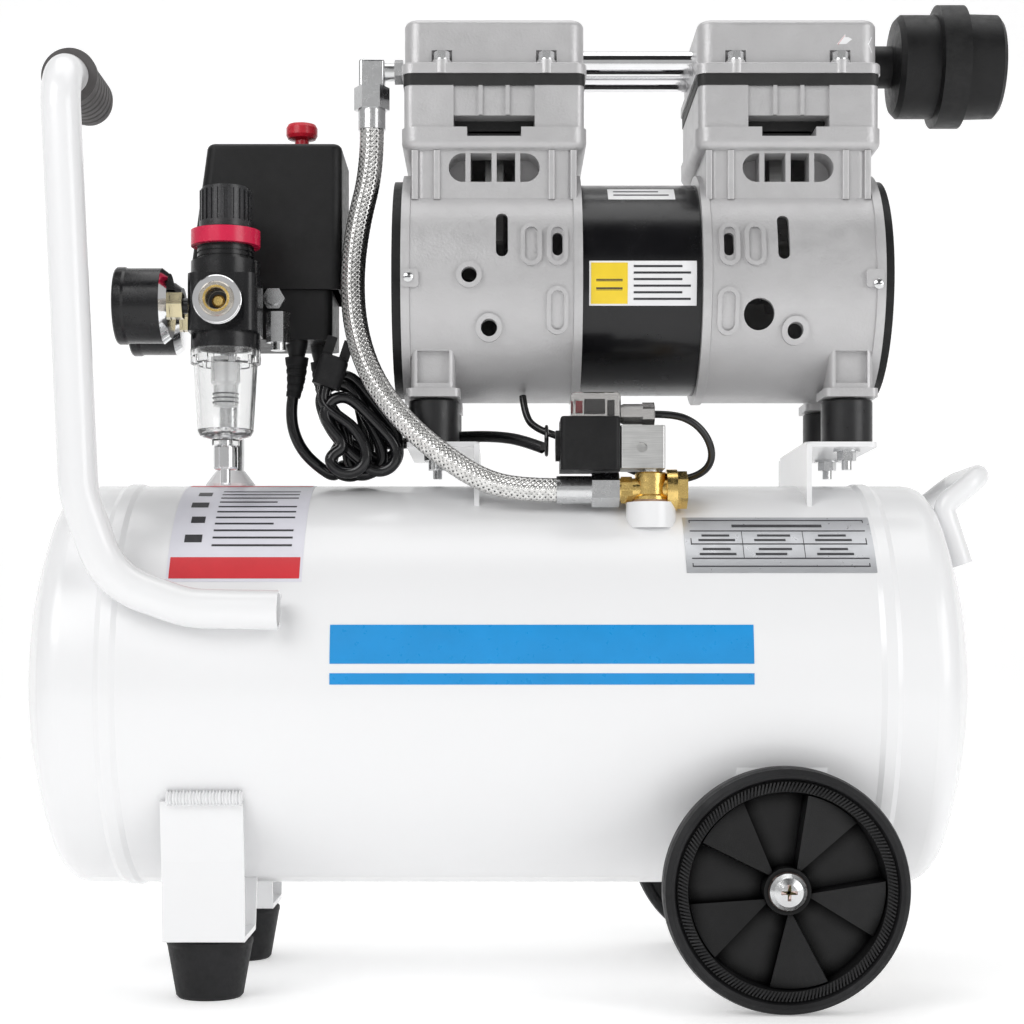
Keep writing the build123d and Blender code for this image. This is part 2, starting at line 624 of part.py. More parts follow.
def check_valve():
    """Brass check valve: upright body in the tank boss, side inlet and end cap."""
    body = turned("Z", [(0, 274), (6.5, 274), (6.5, BOSS_TOP), (9.3, BOSS_TOP), (10.4, 288.3), (10.4, 290.4),
                        (9.3, 291.5), (9.3, 303.5), (8.4, 304.5), (0, 304.5)], VALVE_X, VALVE_Y)
    body += rod("X", 6.8, 70.5, 98, VALVE_Y, PORT_Z)
    body += hex_bar("X", 13.5, 71.5, 78, VALVE_Y, PORT_Z)
    body += rod("X", 12, 98, 104, VALVE_Y, PORT_Z)
    cap = hex_bar("X", 19, 104, 110, VALVE_Y, PORT_Z)
    return body, cap


def solenoid_block():
    body = block((70.5, 96.5), (-84, -57), (306, 331), edge=1.5, top=1)
    body += rod("Z", 5, 304.5, 306, VALVE_X, VALVE_Y)
    return body - rod("Y", 3, -86, -78, 83, 318)


def solenoid_coil():
    coil = block((36, 70.5), (-86.5, -54.5), (305, 336), edge=3, top=1.5)
    coil += rod("X", 9, 33.5, 36, -70.5, 320)
    return coil


def solenoid_connector():
    """Clear connector shell on the coil, with its gland and nut to the right."""
    body = block((42, 71), (-82, -60), (336, 350.4), edge=2, top=3)
    body += turned("X", [(0, 71), (5, 71), (6, 73), (6, 84), (0, 84)], -70, 338.5)
    body += hex_bar("X", 12, 84, 91, -70, 338.5)
    return body


# ---------------------------------------------------------------- pressure switch

def switch_base():
    body = block(SWITCH_X, (-SWITCH_Y, SWITCH_Y), BASE_Z, edge=5)
    for x, y in (GLAND_POWER, GLAND_MOTOR):
        body += turned("Z", [(0, BASE_Z[0]), (6.8, BASE_Z[0]), (6.2, BASE_Z[0] - 4), (4.6, GLAND_END),
                             (0, GLAND_END)], x, y)
    return body


def switch_cover():
    """Hollow moulded cover, its left side leaning in towards the top."""
    left, right = SWITCH_X[0] - 7, SWITCH_X[1] + 6
    top = 506.0
    outline = Polyline((left, BASE_Z[1]), (right, BASE_Z[1]), (right, top), (left + 12, top), close=True)
    outer = front_prism(make_face(outline.edges()), -33, 33)
    outer = fillet(outer.edges().filter_by(lambda edge: abs((edge % 0.5).Z) > 0.9), 6)
    outer = fillet(outer.faces().sort_by(Axis.Z)[-1].edges(), 4)
    wall = COVER_WALL
    hollow = Polyline((left + wall, BASE_Z[1] - 1), (right - wall, BASE_Z[1] - 1), (right - wall, top - wall),
                      (left + 12 + wall, top - wall), close=True)
    outer -= front_prism(make_face(hollow.edges()), -33 + wall, 33 - wall)
    outer += rod("Z", 9.5, top - 1, top + 2, KNOB_X, 0)
    outer -= rod("Z", 4.6, top - 5, top + 3, KNOB_X, 0)
    return outer


def switch_knob():
    """Push-pull knob on its stem."""
    profile = [(0, 494), (4.3, 494), (4.3, 515), (8.5, 516), (9.6, 518), (9.6, 522.5), (8.5, 524.5), (0, 525)]
    return turned("Z", profile, KNOB_X, 0)


def air_manifold():
    """Riser pipe, cross nipple to the regulator, plugged port and relief fitting."""
    riser = turned("Z", [(5, 302), (8.4, 302), (8.4, BASE_Z[0]), (5, BASE_Z[0])], RISER_X, 0)
    riser -= TANK_BOSS
    nipple = rod("Y", 7, REG_Y + REG_HALF, -SWITCH_Y, REG_X, OUTLET_Z)
    plug = hex_bar("Y", 12, -38, -SWITCH_Y, -134.5, 411.5)
    plug += rod("Y", 4, -41, -38, -134.5, 411.5)
    relief = rod("Y", 5, -42, -SWITCH_Y, -131, 396)
    relief += hex_bar("Z", 12.5, 384, 402, -131, -43)
    relief += rod("Z", 4.5, 379.5, 384, -131, -43)
    return riser, nipple, plug, relief


TANK_BOSS = turned("Z", [(0, 296), (16, 296), (15, 303), (9, 311), (0, 311)], RISER_X, 0)


# ---------------------------------------------------------------- filter regulator and gauges

def regulator_body():
    x = (REG_X - REG_HALF, REG_X + REG_HALF)
    y = (REG_Y - REG_HALF, REG_Y + REG_HALF)
    body = block(x, y, (384, 417), edge=7)
    body += rod("Z", REG_HALF, REG_Z[0], REG_Z[1], REG_X, REG_Y)
    body += rod("Z", 16.3, REG_Z[1], 444, REG_X, REG_Y)
    for groove in (427.6, 430.4, 433.2):
        body -= ring("Z", 18, 15.5, groove, groove + 1, REG_X, REG_Y)
    body += rod("Y", 12.5, y[0] - 5, y[0], REG_X, OUTLET_Z)
    body -= rod("Z", 6.0 + RUN_CLEAR, 424, 446, REG_X, REG_Y)
    body -= rod("Z", 15, REG_Z[0] - 1, 383, REG_X, REG_Y)
    return body


def regulator_knob():
    """Ribbed adjusting knob, bored for its spindle."""
    knob = rod("Z", 14.2, 445.3, 468, REG_X, REG_Y)
    knob += rod("Z", 13.2, 467, 469, REG_X, REG_Y)
    knob += rod("Z", 15.2, 445.3, 449, REG_X, REG_Y)
    ribs = 24
    for index in range(ribs):
        turn = Pos(REG_X, REG_Y, 457) * Rot(0, 0, 360 / ribs * index)
        knob += turn * Pos(14.2, 0, 0) * Box(1.7, 1.9, 20)
    return knob - rod("Z", 6.0 + RUN_CLEAR, 444, 463.4, REG_X, REG_Y)


def filter_bowl():
    """Clear bowl with a notched collar."""
    profile = [(3.0 + RUN_CLEAR, 319.8), (8, 319.8), (8, 323), (14.5, 325), (16.2, 328), (18.4, 366), (20.3, 367),
               (20.3, REG_Z[0]), (16.4, REG_Z[0]), (16.2, 366), (14.2, 329), (12.5, 327.3), (3.0 + RUN_CLEAR, 327.3)]
    bowl = turned("Z", profile, REG_X, REG_Y)
    for index in range(10):
        notch = Pos(REG_X, REG_Y, 368.5) * Rot(0, 0, 36 * index) * Pos(20.3, 0, 0) * Box(3, 4, 5)
        bowl -= notch
    return bowl


def bowl_drain():
    profile = [(0, 297), (2.6, 297), (3, 298), (3, 306), (6.4, 306), (7, 307), (7, 318.5), (6.4, 319.4),
               (3, 319.4), (3, 326), (0, 326)]
    return turned("Z", profile, REG_X, REG_Y)


def outlet_coupler():
    """Quick coupler body with its socket; the sleeve slides on it."""
    start = REG_Y - REG_HALF - 5
    body = hex_bar("Y", 21, start - 4, start, REG_X, OUTLET_Z)
    profile = [(6.0, start - 4), (10, start - 4), (10, start - 15), (9.2, start - 16), (6.0, start - 16)]
    body += turned("Y", profile, REG_X, OUTLET_Z)
    return body - rod("Y", 6.0, start - 18, start - 3, REG_X, OUTLET_Z)


def coupler_sleeve():
    start = REG_Y - REG_HALF - 5
    profile = [(10 + RUN_CLEAR, start - 8), (13, start - 8), (13.6, start - 8.6), (13.6, start - 10.2), (12.8, start - 10.8),
               (12.8, start - 12), (13.6, start - 12.6), (13.6, start - 13.6), (13, start - 14.2), (10 + RUN_CLEAR, start - 14.2)]
    return turned("Y", profile, REG_X, OUTLET_Z)


def gauge_case(y):
    """Case with its rim, dial floor, pivot hole and hexagonal stem."""
    dial = GAUGE_FACE + 7
    hub = 0.9
    profile = [(hub, dial), (20, dial), (20, GAUGE_FACE), (21.6, GAUGE_FACE), (GAUGE_R, GAUGE_FACE + 1),
               (GAUGE_R, GAUGE_FACE + 5), (21.6, GAUGE_FACE + 6.5), (21.6, GAUGE_BACK - 4), (18, GAUGE_BACK),
               (0, GAUGE_BACK), (0, dial + 6), (hub, dial + 6)]
    case = turned("X", profile, y, GAUGE_Z)
    reach = REG_X - REG_HALF if y == GAUGE_Y[0] else SWITCH_X[0]
    case += rod("X", 4.5, GAUGE_BACK, reach, y, GAUGE_Z)
    return case + hex_bar("X", 12, GAUGE_BACK, GAUGE_BACK + 7, y, GAUGE_Z)


def gauge_needle(y):
    """Pointer on its pivot, resting at the scale's start."""
    dial = GAUGE_FACE + 7
    needle = rod("X", 2.4, dial - 3, dial - 1.2, y, GAUGE_Z)
    needle += rod("X", 0.8, dial - 1.2, dial + 4, y, GAUGE_Z)
    pointer = Pos(dial - 2.1, 0, 6) * Box(0.8, 1.2, 19)
    lean = 135.0
    return needle + Pos(0, y, GAUGE_Z) * Rot(lean, 0, 0) * pointer


# ---------------------------------------------------------------- power cord

def cord_hank():
    """Outer shape of the folded and tied mains cord: narrow at its tie, fanned out below."""
    outline = make_face(Polyline(*HANK_OUTLINE, close=True).edges())
    outline = fillet(outline.vertices(), 4)
    hank = front_prism(outline, HANK_MIDDLE, HANK_BACK)
    lower = outline & Pos(-84, HANK_NECK_Z - 60) * Rectangle(100, 120)
    return hank + front_prism(lower, HANK_FRONT, HANK_MIDDLE)


def cord_plug():
    """Moulded plug with two flat pins, held in front of the hank's neck."""
    body = block((-8.5, 8.5), (-13, -0.2), (0, 19), edge=4, top=3)
    for side in (-5.2, 5.2):
        body += block((side - 3, side + 3), (-7.4, -5.8), (18, 30))
    return Pos(PLUG_FOOT[0], HANK_MIDDLE, PLUG_FOOT[1]) * Rot(0, PLUG_LEAN, 0) * body


def main():
    os.makedirs("parts", exist_ok=True)
    save("tank_shell", tank_shell())
    save("tank_heads", *tank_heads())
    cock = hex_bar("Z", 15, 40, 52.5, DRAIN_X, 0) + rod("Z", 4, 52.5, 60, DRAIN_X, 0)
    cock += rod("Z", 6.5, 30, 40, DRAIN_X, 0)
    save("drain_cock_body", cock - rod("Z", 3 + RUN_CLEAR, 29, 46, DRAIN_X, 0))
    key = rod("Z", 3, 26, 44, DRAIN_X, 0) + rod("Z", 5.5, 21, 29.6, DRAIN_X, 0)
    key += block((DRAIN_X - 13, DRAIN_X + 13), (-1.6, 1.6), (19, 28), edge=1)
    save("drain_cock_key", key)
    save("push_handle", push_handle())
    save("handle_grip", handle_grip())
    save("grab_handle", grab_handle())
    save("leg_brackets", *leg_brackets())
    save("rubber_feet", *rubber_feet())
    for name, side in (("front", -1), ("rear", 1)):
        save("wheel_" + name, wheel_hub(side))
        save("tyre_" + name, wheel_tyre(side))
    studs = [stud(x, side * MOUNT_Y) for x in MOUNT_X for side in (-1, 1)]
    bolts = [make(side) for make in (foot_bolt, axle_bolt) for side in (-1, 1)]
    save("zinc_fasteners", *studs, *bolts, *head_screws())

    save("motor_brackets", motor_bracket(-54, -11, -14, MOUNT_X[0]), motor_bracket(181.5, 224, 181.5, MOUNT_X[1]))
    save("rubber_mounts", *rubber_mounts())
    left, right = crankcases()
    save("crankcase_left", left)
    save("crankcase_right", right)
    save("stator_shell", ring("X", STATOR_R, STATOR_R - 2.5, DRUM_LEFT[1], DRUM_RIGHT[0], 0, PUMP_Z))
    core = ring("X", STATOR_R - 2.5, 39, 62, 107.6, 0, PUMP_Z)
    core += ring("X", 57, 43, 53, 116.6, 0, PUMP_Z)
    save("stator_core", core)
    save("rotor", ring("X", 38, SHAFT_R, 62, 107.6, 0, PUMP_Z))
    save("motor_shaft", motor_shaft())
    save("shaft_bearings", bearing(DRUM_LEFT[1] - 11, DRUM_LEFT[1]), bearing(DRUM_RIGHT[0], DRUM_RIGHT[0] + 11))
    save("piston_left", piston(PISTON_X[0]))
    save("piston_right", piston(PISTON_X[1]))
    save("cylinder_blocks", *[cylinder_block(x) for x in PISTON_X])
    save("head_gaskets", *[gasket(x) for x in PISTON_X])
    save("head_covers", head_cover(PISTON_X[0], 1), head_cover(PISTON_X[1], -1))
    save("cooling_fans", cooling_fan(-51, -38), cooling_fan(207.6, 220.6))
    save("end_covers", end_cover(-62.5, -57), end_cover(226.6, 232))
    inner = (PISTON_X[0] + HEAD_HALF_X - 10, PISTON_X[1] - HEAD_HALF_X + 10)
    save("crossover_tubes", *[ring("X", CROSS_R, CROSS_R - 1, *inner, y, CROSS_Z) for y in (-CROSS_Y, CROSS_Y)])

    save("filter_housing", filter_housing())
    save("filter_cap", filter_cap())
    save("filter_element", ring("X", 27, 12, 248, 304.7, 0, 560.4))
    save("discharge_fittings", *discharge_fittings())
    save("discharge_hose", cord("discharge_hose", HOSE_ROUTE, HOSE_R))
    save("check_valve", *check_valve())
    save("solenoid_block", solenoid_block())
    save("solenoid_coil", solenoid_coil())
    save("solenoid_connector", solenoid_connector())
    save("solenoid_lead", cord("solenoid_lead", SOLENOID_ROUTE, LEAD_R))
    save("motor_lead", cord("motor_lead", MOTOR_ROUTE, CORD_R))

    save("switch_base", switch_base())
    save("switch_cover", switch_cover())
    save("switch_knob", switch_knob())
    save("air_manifold", *air_manifold())
    save("regulator_body", regulator_body())
    save("regulator_spindle", rod("Z", 6, 425, 463, REG_X, REG_Y))
    save("regulator_knob", regulator_knob())
    save("panel_ring", ring("Z", 20, 16.3, 435, 444, REG_X, REG_Y))
    save("filter_bowl", filter_bowl())
    save("bowl_drain", bowl_drain())
    save("outlet_coupler", outlet_coupler())
    save("coupler_sleeve", coupler_sleeve())
    save("gauge_cases", *[gauge_case(y) for y in GAUGE_Y])
    save("gauge_needle_front", gauge_needle(GAUGE_Y[0]))
    save("gauge_needle_rear", gauge_needle(GAUGE_Y[1]))

    save("power_cord", cord("power_cord", POWER_ROUTE, CORD_R))
    save("cord_hank", cord_hank())
    save("cord_plug", cord_plug())


main()
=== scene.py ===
"""Oil-free air compressor on a wheeled tank: looks, cords, labels, floor, light and camera. Metres."""
import bpy
import json
import math
from mathutils import Matrix, Vector


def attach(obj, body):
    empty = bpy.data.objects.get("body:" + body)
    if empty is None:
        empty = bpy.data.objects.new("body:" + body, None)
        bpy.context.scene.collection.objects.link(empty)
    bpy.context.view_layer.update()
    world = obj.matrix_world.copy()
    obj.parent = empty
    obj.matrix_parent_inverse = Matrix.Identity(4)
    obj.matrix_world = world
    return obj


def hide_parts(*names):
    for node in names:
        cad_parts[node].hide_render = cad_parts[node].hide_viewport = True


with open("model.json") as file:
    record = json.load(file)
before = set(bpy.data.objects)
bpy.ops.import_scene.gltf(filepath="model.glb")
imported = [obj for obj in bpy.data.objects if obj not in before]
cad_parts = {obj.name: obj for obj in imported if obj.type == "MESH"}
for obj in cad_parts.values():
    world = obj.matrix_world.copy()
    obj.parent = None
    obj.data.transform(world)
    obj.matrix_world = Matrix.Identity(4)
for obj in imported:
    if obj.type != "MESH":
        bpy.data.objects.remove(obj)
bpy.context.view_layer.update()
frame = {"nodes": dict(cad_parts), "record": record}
NODES = frame["nodes"]
ROOT = "compressor"
SHIFT_X = -0.013
TANK_R = 0.1215
TANK_Z = 0.180
PUMP_Z = 0.422
MOTOR_R = 0.064
GAUGES = (("front", -0.075), ("rear", -0.027))
GAUGE_Z = 0.4008
GAUGE_DIAL = -0.2135
GAUGE_LENS = -0.2165
GAUGE_BACK = -0.190
REGULATOR_X = -0.158
BOWL_Y = -0.075
COUPLER_Z = 0.3985
IN_FRONT = -0.2
WHEEL_X = 0.1595
WHEEL_Y = 0.1275
WHEEL_Z = 0.0685
WHEEL_HALF = 0.011
PRINT_LIFT = 0.0002


def at(x, y, z):
    """Point drawn about the tank's middle, in the row frame."""
    return Vector((x + SHIFT_X, y, z))


# ---------------------------------------------------------------- materials

class Shader:
    """A Principled material with short helpers for its nodes; values are set on the shader's own sockets."""

    def __init__(self, name, **values):
        self.material = bpy.data.materials.new(name)
        self.material.use_nodes = True
        self.tree = self.material.node_tree
        self.bsdf = self.tree.nodes["Principled BSDF"]
        for key, value in values.items():
            self.bsdf.inputs[key.replace("_", " ")].default_value = value
        self.place = self.node("ShaderNodeTexCoord").outputs["Object"]

    def node(self, kind, **settings):
        made = self.tree.nodes.new(kind)
        for key, value in settings.items():
            setattr(made, key, value)
        return made

    def link(self, source, target):
        self.tree.links.new(source, target)

    def stretched(self, scale):
        made = self.node("ShaderNodeMapping")
        made.inputs["Scale"].default_value = scale
        self.link(self.place, made.inputs["Vector"])
        return made.outputs["Vector"]

    def noise(self, scale, detail=3.0, rough=0.5, where=None):
        made = self.node("ShaderNodeTexNoise")
        made.inputs["Scale"].default_value = scale
        made.inputs["Detail"].default_value = detail
        made.inputs["Roughness"].default_value = rough
        self.link(where or self.place, made.inputs["Vector"])
        return made.outputs["Fac"]

    def remap(self, value, low, high, start=0.3, end=0.7):
        made = self.node("ShaderNodeMapRange")
        made.inputs["From Min"].default_value = start
        made.inputs["From Max"].default_value = end
        made.inputs["To Min"].default_value = low
        made.inputs["To Max"].default_value = high
        self.link(value, made.inputs["Value"])
        return made.outputs["Result"]

    def mix(self, factor, first, second):
        made = self.node("ShaderNodeMix", data_type="RGBA")
        for value, socket in ((first, made.inputs[6]), (second, made.inputs[7])):
            if isinstance(value, tuple):
                socket.default_value = (*value, 1.0)
            else:
                self.link(value, socket)
        self.link(factor, made.inputs[0])
        return made.outputs[2]

    def colour(self, source):
        self.link(source, self.bsdf.inputs["Base Color"])

    def roughness(self, source):
        self.link(source, self.bsdf.inputs["Roughness"])

    def bump(self, height, strength, distance):
        made = self.node("ShaderNodeBump")
        made.inputs["Strength"].default_value = strength
        made.inputs["Distance"].default_value = distance
        self.link(height, made.inputs["Height"])
        previous = self.bsdf.inputs["Normal"]
        if previous.is_linked:
            self.link(previous.links[0].from_socket, made.inputs["Normal"])
        self.link(made.outputs["Normal"], self.bsdf.inputs["Normal"])


def shade(colour, factor):
    """A lighter or darker version of a colour."""
    return tuple(min(1.0, part * factor) for part in colour)


def surface(name, colour, rough, vary=0.06, patch=14.0, rough_vary=0.06, grain=0.0, grain_scale=900.0,
            wear=0.0, wear_colour=(0.6, 0.6, 0.6), painted_shade_reach=0.0, unshaded_specular=0.3, **values):
    """General finish: patchy colour, uneven gloss, grain, rubbed edges and painted shade in recesses (darker
    colour, weaker specular).
    """
    made = Shader(name, **values)
    patches = made.noise(patch, 4.0, 0.55)
    tint = made.mix(made.remap(patches, 0.0, 1.0), shade(colour, 1 - vary), shade(colour, 1 + vary))
    if wear:
        edge = made.node("ShaderNodeNewGeometry").outputs["Pointiness"]
        scuff = made.node("ShaderNodeMath", operation="MULTIPLY")
        made.link(made.remap(edge, 0.0, wear, 0.52, 0.60), scuff.inputs[0])
        made.link(made.remap(made.noise(120.0, 5.0, 0.7), 0.0, 1.0, 0.4, 0.65), scuff.inputs[1])
        tint = made.mix(scuff.outputs[0], tint, wear_colour)
    # painted shade: an ambient-occlusion mask darkens the colour and weakens the specular in recesses
    if painted_shade_reach:
        painted_shade_ao = made.node("ShaderNodeAmbientOcclusion", samples=8)
        painted_shade_ao.inputs["Distance"].default_value = painted_shade_reach
        unshaded_share = made.remap(painted_shade_ao.outputs["AO"], 0.0, 1.0, 0.45, 0.95)
        tint = made.mix(unshaded_share, shade(colour, 0.15), tint)
        gloss = made.remap(unshaded_share, 0.03, unshaded_specular, 0.0, 1.0)
        made.link(gloss, made.bsdf.inputs["Specular IOR Level"])
    made.colour(tint)
    made.roughness(made.remap(made.noise(patch * 5, 5.0, 0.6), rough - rough_vary, rough + rough_vary))
    if grain:
        made.bump(made.noise(grain_scale, 2.0, 0.5), grain, 0.0004)
    return made.material


def brushed(name, colour, rough, **values):
    """Machined metal with fine parallel tool marks."""
    made = Shader(name, Metallic=1.0, **values)
    marks = made.noise(60.0, 4.0, 0.6, made.stretched((1, 40, 40)))
    made.colour(made.mix(made.remap(marks, 0.0, 1.0), shade(colour, 0.86), shade(colour, 1.08)))
    made.roughness(made.remap(made.noise(90.0, 5.0, 0.6), rough - 0.07, rough + 0.09))
    made.bump(marks, 0.12, 0.0002)
    return made.material


WHITE = surface("white_powder_coat", (0.85, 0.852, 0.860), 0.26, vary=0.006, patch=5.0, rough_vary=0.012,
                grain=0.07, grain_scale=420.0, Coat_Weight=0.30, Coat_Roughness=0.14)
CASTING = surface("cast_grey_paint", (0.52, 0.515, 0.52), 0.38, vary=0.05, patch=22.0, rough_vary=0.07,
                  grain=0.42, grain_scale=620.0, wear=0.35, wear_colour=(0.62, 0.62, 0.62), Metallic=0.35)
GLOSS_BLACK = surface("gloss_black_paint", (0.005, 0.005, 0.006), 0.24, vary=0.3, patch=18.0,
                      rough_vary=0.05, grain=0.05, grain_scale=500.0, Specular_IOR_Level=0.4,
                      Coat_Weight=0.12, Coat_Roughness=0.12)
PLASTIC = surface("moulded_black_plastic", (0.0075, 0.0075, 0.008), 0.42, vary=0.25, patch=40.0,
                  rough_vary=0.08, grain=0.30, grain_scale=2400.0, wear=0.25,
                  wear_colour=(0.03, 0.03, 0.03), Specular_IOR_Level=0.28)
# painted shade: darker colour and weaker specular in the recesses between the wheel's fan blades
WHEEL_BLACK = surface("wheel_moulding", (0.0080, 0.0080, 0.0084), 0.40, vary=0.25, patch=40.0,
                      rough_vary=0.08, grain=0.25, grain_scale=2400.0, painted_shade_reach=0.009, unshaded_specular=0.28)
REG_BLACK = surface("gloss_black_moulding", (0.006, 0.006, 0.007), 0.25, vary=0.25, patch=40.0, grain=0.12,
                    grain_scale=1500.0, Specular_IOR_Level=0.42)
RUBBER = surface("black_rubber", (0.010, 0.010, 0.011), 0.58, vary=0.3, patch=60.0, rough_vary=0.09,
                 grain=0.30, grain_scale=1600.0, wear=0.3, wear_colour=(0.04, 0.04, 0.04),
                 Specular_IOR_Level=0.3)
MOUNT_RUBBER = surface("mount_rubber", (0.010, 0.010, 0.011), 0.34, vary=0.2, patch=50.0, rough_vary=0.07,
                       grain=0.12, grain_scale=1400.0)
TYRE = surface("tyre_rubber", (0.010, 0.010, 0.011), 0.52, vary=0.35, patch=30.0, rough_vary=0.1,
               grain=0.35, grain_scale=1500.0, wear=0.3, wear_colour=(0.04, 0.04, 0.04),
               Specular_IOR_Level=0.3)
GRIP = surface("grip_rubber", (0.075, 0.070, 0.070), 0.60, vary=0.18, patch=60.0, rough_vary=0.08,
               grain=0.30, grain_scale=1800.0)
KNOB_GREY = surface("knob_grey", (0.026, 0.026, 0.028), 0.28, vary=0.2, patch=60.0, rough_vary=0.08,
                    grain=0.25, grain_scale=1800.0)
CABLE = surface("cable_sheath", (0.006, 0.006, 0.007), 0.17, vary=0.25, patch=90.0, rough_vary=0.05,
                grain=0.08)
RED = surface("red_plastic", (0.56, 0.012, 0.03), 0.28, vary=0.08, patch=60.0, grain=0.08,
              grain_scale=1500.0)
CRIMSON = surface("crimson_plastic", (0.62, 0.010, 0.06), 0.25, patch=60.0, rough_vary=0.05, grain=0.06,
                  grain_scale=1500.0)
ZINC = surface("zinc_plate", (0.66, 0.665, 0.67), 0.24, patch=60.0, grain=0.07, grain_scale=1400.0,
               Metallic=1.0)
CHROME = surface("chrome_plate", (0.82, 0.82, 0.83), 0.09, vary=0.05, patch=40.0, rough_vary=0.03,
                 grain=0.03, Metallic=1.0)
BRASS = surface("brass", (0.80, 0.57, 0.20), 0.24, vary=0.14, patch=70.0, rough_vary=0.08, grain=0.22,
                grain_scale=1300.0, Metallic=1.0)
ALUMINIUM = brushed("machined_aluminium", (0.70, 0.70, 0.69), 0.34)
STEEL = brushed("ground_steel", (0.52, 0.52, 0.53), 0.30)
BRAID = surface("stainless_wire", (0.72, 0.715, 0.70), 0.27, vary=0.2, patch=300.0, rough_vary=0.09,
                grain=0.1, grain_scale=3000.0, Metallic=1.0)
BRAID_CORE = surface("hose_core", (0.035, 0.034, 0.033), 0.6, vary=0.2, patch=200.0, rough_vary=0.08,
                     grain=0.2, grain_scale=1500.0)
COPPER = surface("winding_copper", (0.50, 0.20, 0.09), 0.35, vary=0.25, patch=150.0, rough_vary=0.1,
                 grain=0.5, Metallic=0.8)
FOAM = surface("filter_foam", (0.20, 0.20, 0.20), 0.9, vary=0.3, patch=200.0, rough_vary=0.05, grain=0.9)
GASKET_AND_SHADE = surface("gasket_black", (0.010, 0.010, 0.010), 0.55, vary=0.3, patch=120.0, rough_vary=0.08,
                 grain=0.3, grain_scale=1500.0)
LABEL_WHITE = surface("label_white", (0.82, 0.82, 0.83), 0.35, vary=0.02, patch=60.0, rough_vary=0.04,
                      grain=0.05)
LABEL_LILAC = surface("label_lilac_white", (0.74, 0.735, 0.80), 0.35, vary=0.02, patch=60.0,
                      rough_vary=0.04, grain=0.05)
LABEL_RED = surface("label_red", (0.62, 0.03, 0.04), 0.33, vary=0.05, patch=60.0, rough_vary=0.04,
                    grain=0.05)
LABEL_YELLOW = surface("label_yellow", (0.86, 0.62, 0.03), 0.35, vary=0.04, patch=60.0, rough_vary=0.04,
                       grain=0.05)
LABEL_SILVER = surface("label_silver", (0.50, 0.51, 0.53), 0.32, patch=30.0, grain=0.10, grain_scale=1500.0,
                       Metallic=0.55)
LABEL_BLUE = surface("label_blue", (0.012, 0.28, 0.66), 0.30, vary=0.05, patch=40.0, rough_vary=0.04,
                     grain=0.05)
# black ink for print, also used as painted shade for the screw slots
INK_AND_SHADE = surface("ink_and_painted_shade", (0.03, 0.03, 0.035), 0.4, vary=0.2, patch=200.0, rough_vary=0.05, grain=0.05)
PALE_BRASS = surface("pale_brass", (0.62, 0.55, 0.36), 0.22, vary=0.08, patch=60.0, rough_vary=0.05,
                     grain=0.08, grain_scale=1300.0, Metallic=1.0)
NICKEL = brushed("worn_nickel", (0.60, 0.56, 0.50), 0.27)
BOLT_PINK = surface("yellow_zinc", (0.82, 0.62, 0.56), 0.20, vary=0.16, patch=160.0, grain=0.15,
                    Metallic=1.0)
# painted shade: a darkened copy of the yellow zinc, for the shade inside the bolts' cross recesses
RECESS_SHADE = surface("screw_recess_shade", (0.10, 0.085, 0.03), 0.45, vary=0.3, patch=300.0, rough_vary=0.08,
                 grain=0.3, Metallic=0.6)
FROSTED = surface("filter_insert", (0.95, 0.955, 0.96), 0.35, vary=0.05, patch=80.0, rough_vary=0.05,
                  grain=0.1, grain_scale=800.0, Transmission_Weight=0.6, IOR=1.3)
SEALANT = surface("thread_sealant", (0.40, 0.25, 0.16), 0.55, vary=0.25, patch=200.0, rough_vary=0.08,
                  grain=0.8, grain_scale=700.0)
CLEAR = surface("clear_plastic", (0.985, 0.99, 0.99), 0.05, vary=0.02, patch=40.0, rough_vary=0.03,
                grain=0.04, grain_scale=300.0, Transmission_Weight=0.96, IOR=1.46)
SMOKED = surface("clear_connector", (0.42, 0.41, 0.40), 0.10, vary=0.04, patch=40.0, rough_vary=0.04,
                 grain=0.05, grain_scale=300.0, Transmission_Weight=0.9, IOR=1.46)

FINISH = {
    "white_paint": WHITE, "grey_casting": CASTING, "black_paint": GLOSS_BLACK, "black_plastic": PLASTIC,
    "black_rubber": RUBBER, "grip_rubber": GRIP, "mount_rubber": MOUNT_RUBBER, "tyre_rubber": TYRE,
    "zinc_steel": ZINC, "chrome_tube": CHROME, "braid_steel": BRAID, "brass": BRASS, "aluminium": ALUMINIUM,
    "clear_plastic": CLEAR, "red_plastic": RED, "crimson_plastic": CRIMSON, "copper_core": COPPER,
    "steel": STEEL, "gasket_black": GASKET_AND_SHADE, "foam": FOAM, "cable_black": CABLE, "dial_white": LABEL_WHITE,
}
SPECIAL = {"regulator_body": REG_BLACK, "regulator_knob": KNOB_GREY, "solenoid_connector": SMOKED,
           "outlet_coupler": NICKEL, "gauge_cases": REG_BLACK, "wheel_front": WHEEL_BLACK,
           "wheel_rear": WHEEL_BLACK}


def finish_nodes():
    """Give each CAD node its finish, from its record slot."""
    slots = {part["node"]: part["material_slot"] for part in frame["record"]["subparts"]}
    for name, node in NODES.items():
        finish = SPECIAL.get(name) or FINISH[slots[name]]
        if not node.material_slots:
            node.data.materials.append(finish)
        for place in node.material_slots:
            place.material = finish


# ---------------------------------------------------------------- mesh helpers

def piece(name, verts, faces, finish, slot, body=ROOT, sharp=35.0):
    """Mesh object with smooth shading that keeps its hard edges, riding on a body."""
    mesh = bpy.data.meshes.new(name)
    mesh.from_pydata([tuple(v) for v in verts], [], faces)
    mesh.validate()
    mesh.shade_smooth()
    mesh.set_sharp_from_angle(angle=math.radians(sharp))
    mesh.materials.append(finish)
    made = bpy.data.objects.new(name, mesh)
    bpy.context.scene.collection.objects.link(made)
    if body:
        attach(made, body)
    return made


def frame_of(direction):
    """Two directions across a unit direction."""
    side = direction.cross(Vector((0, 0, 1)))
    if side.length < 0.1:
        side = direction.cross(Vector((1, 0, 0)))
    side.normalize()
    return side, direction.cross(side).normalized()


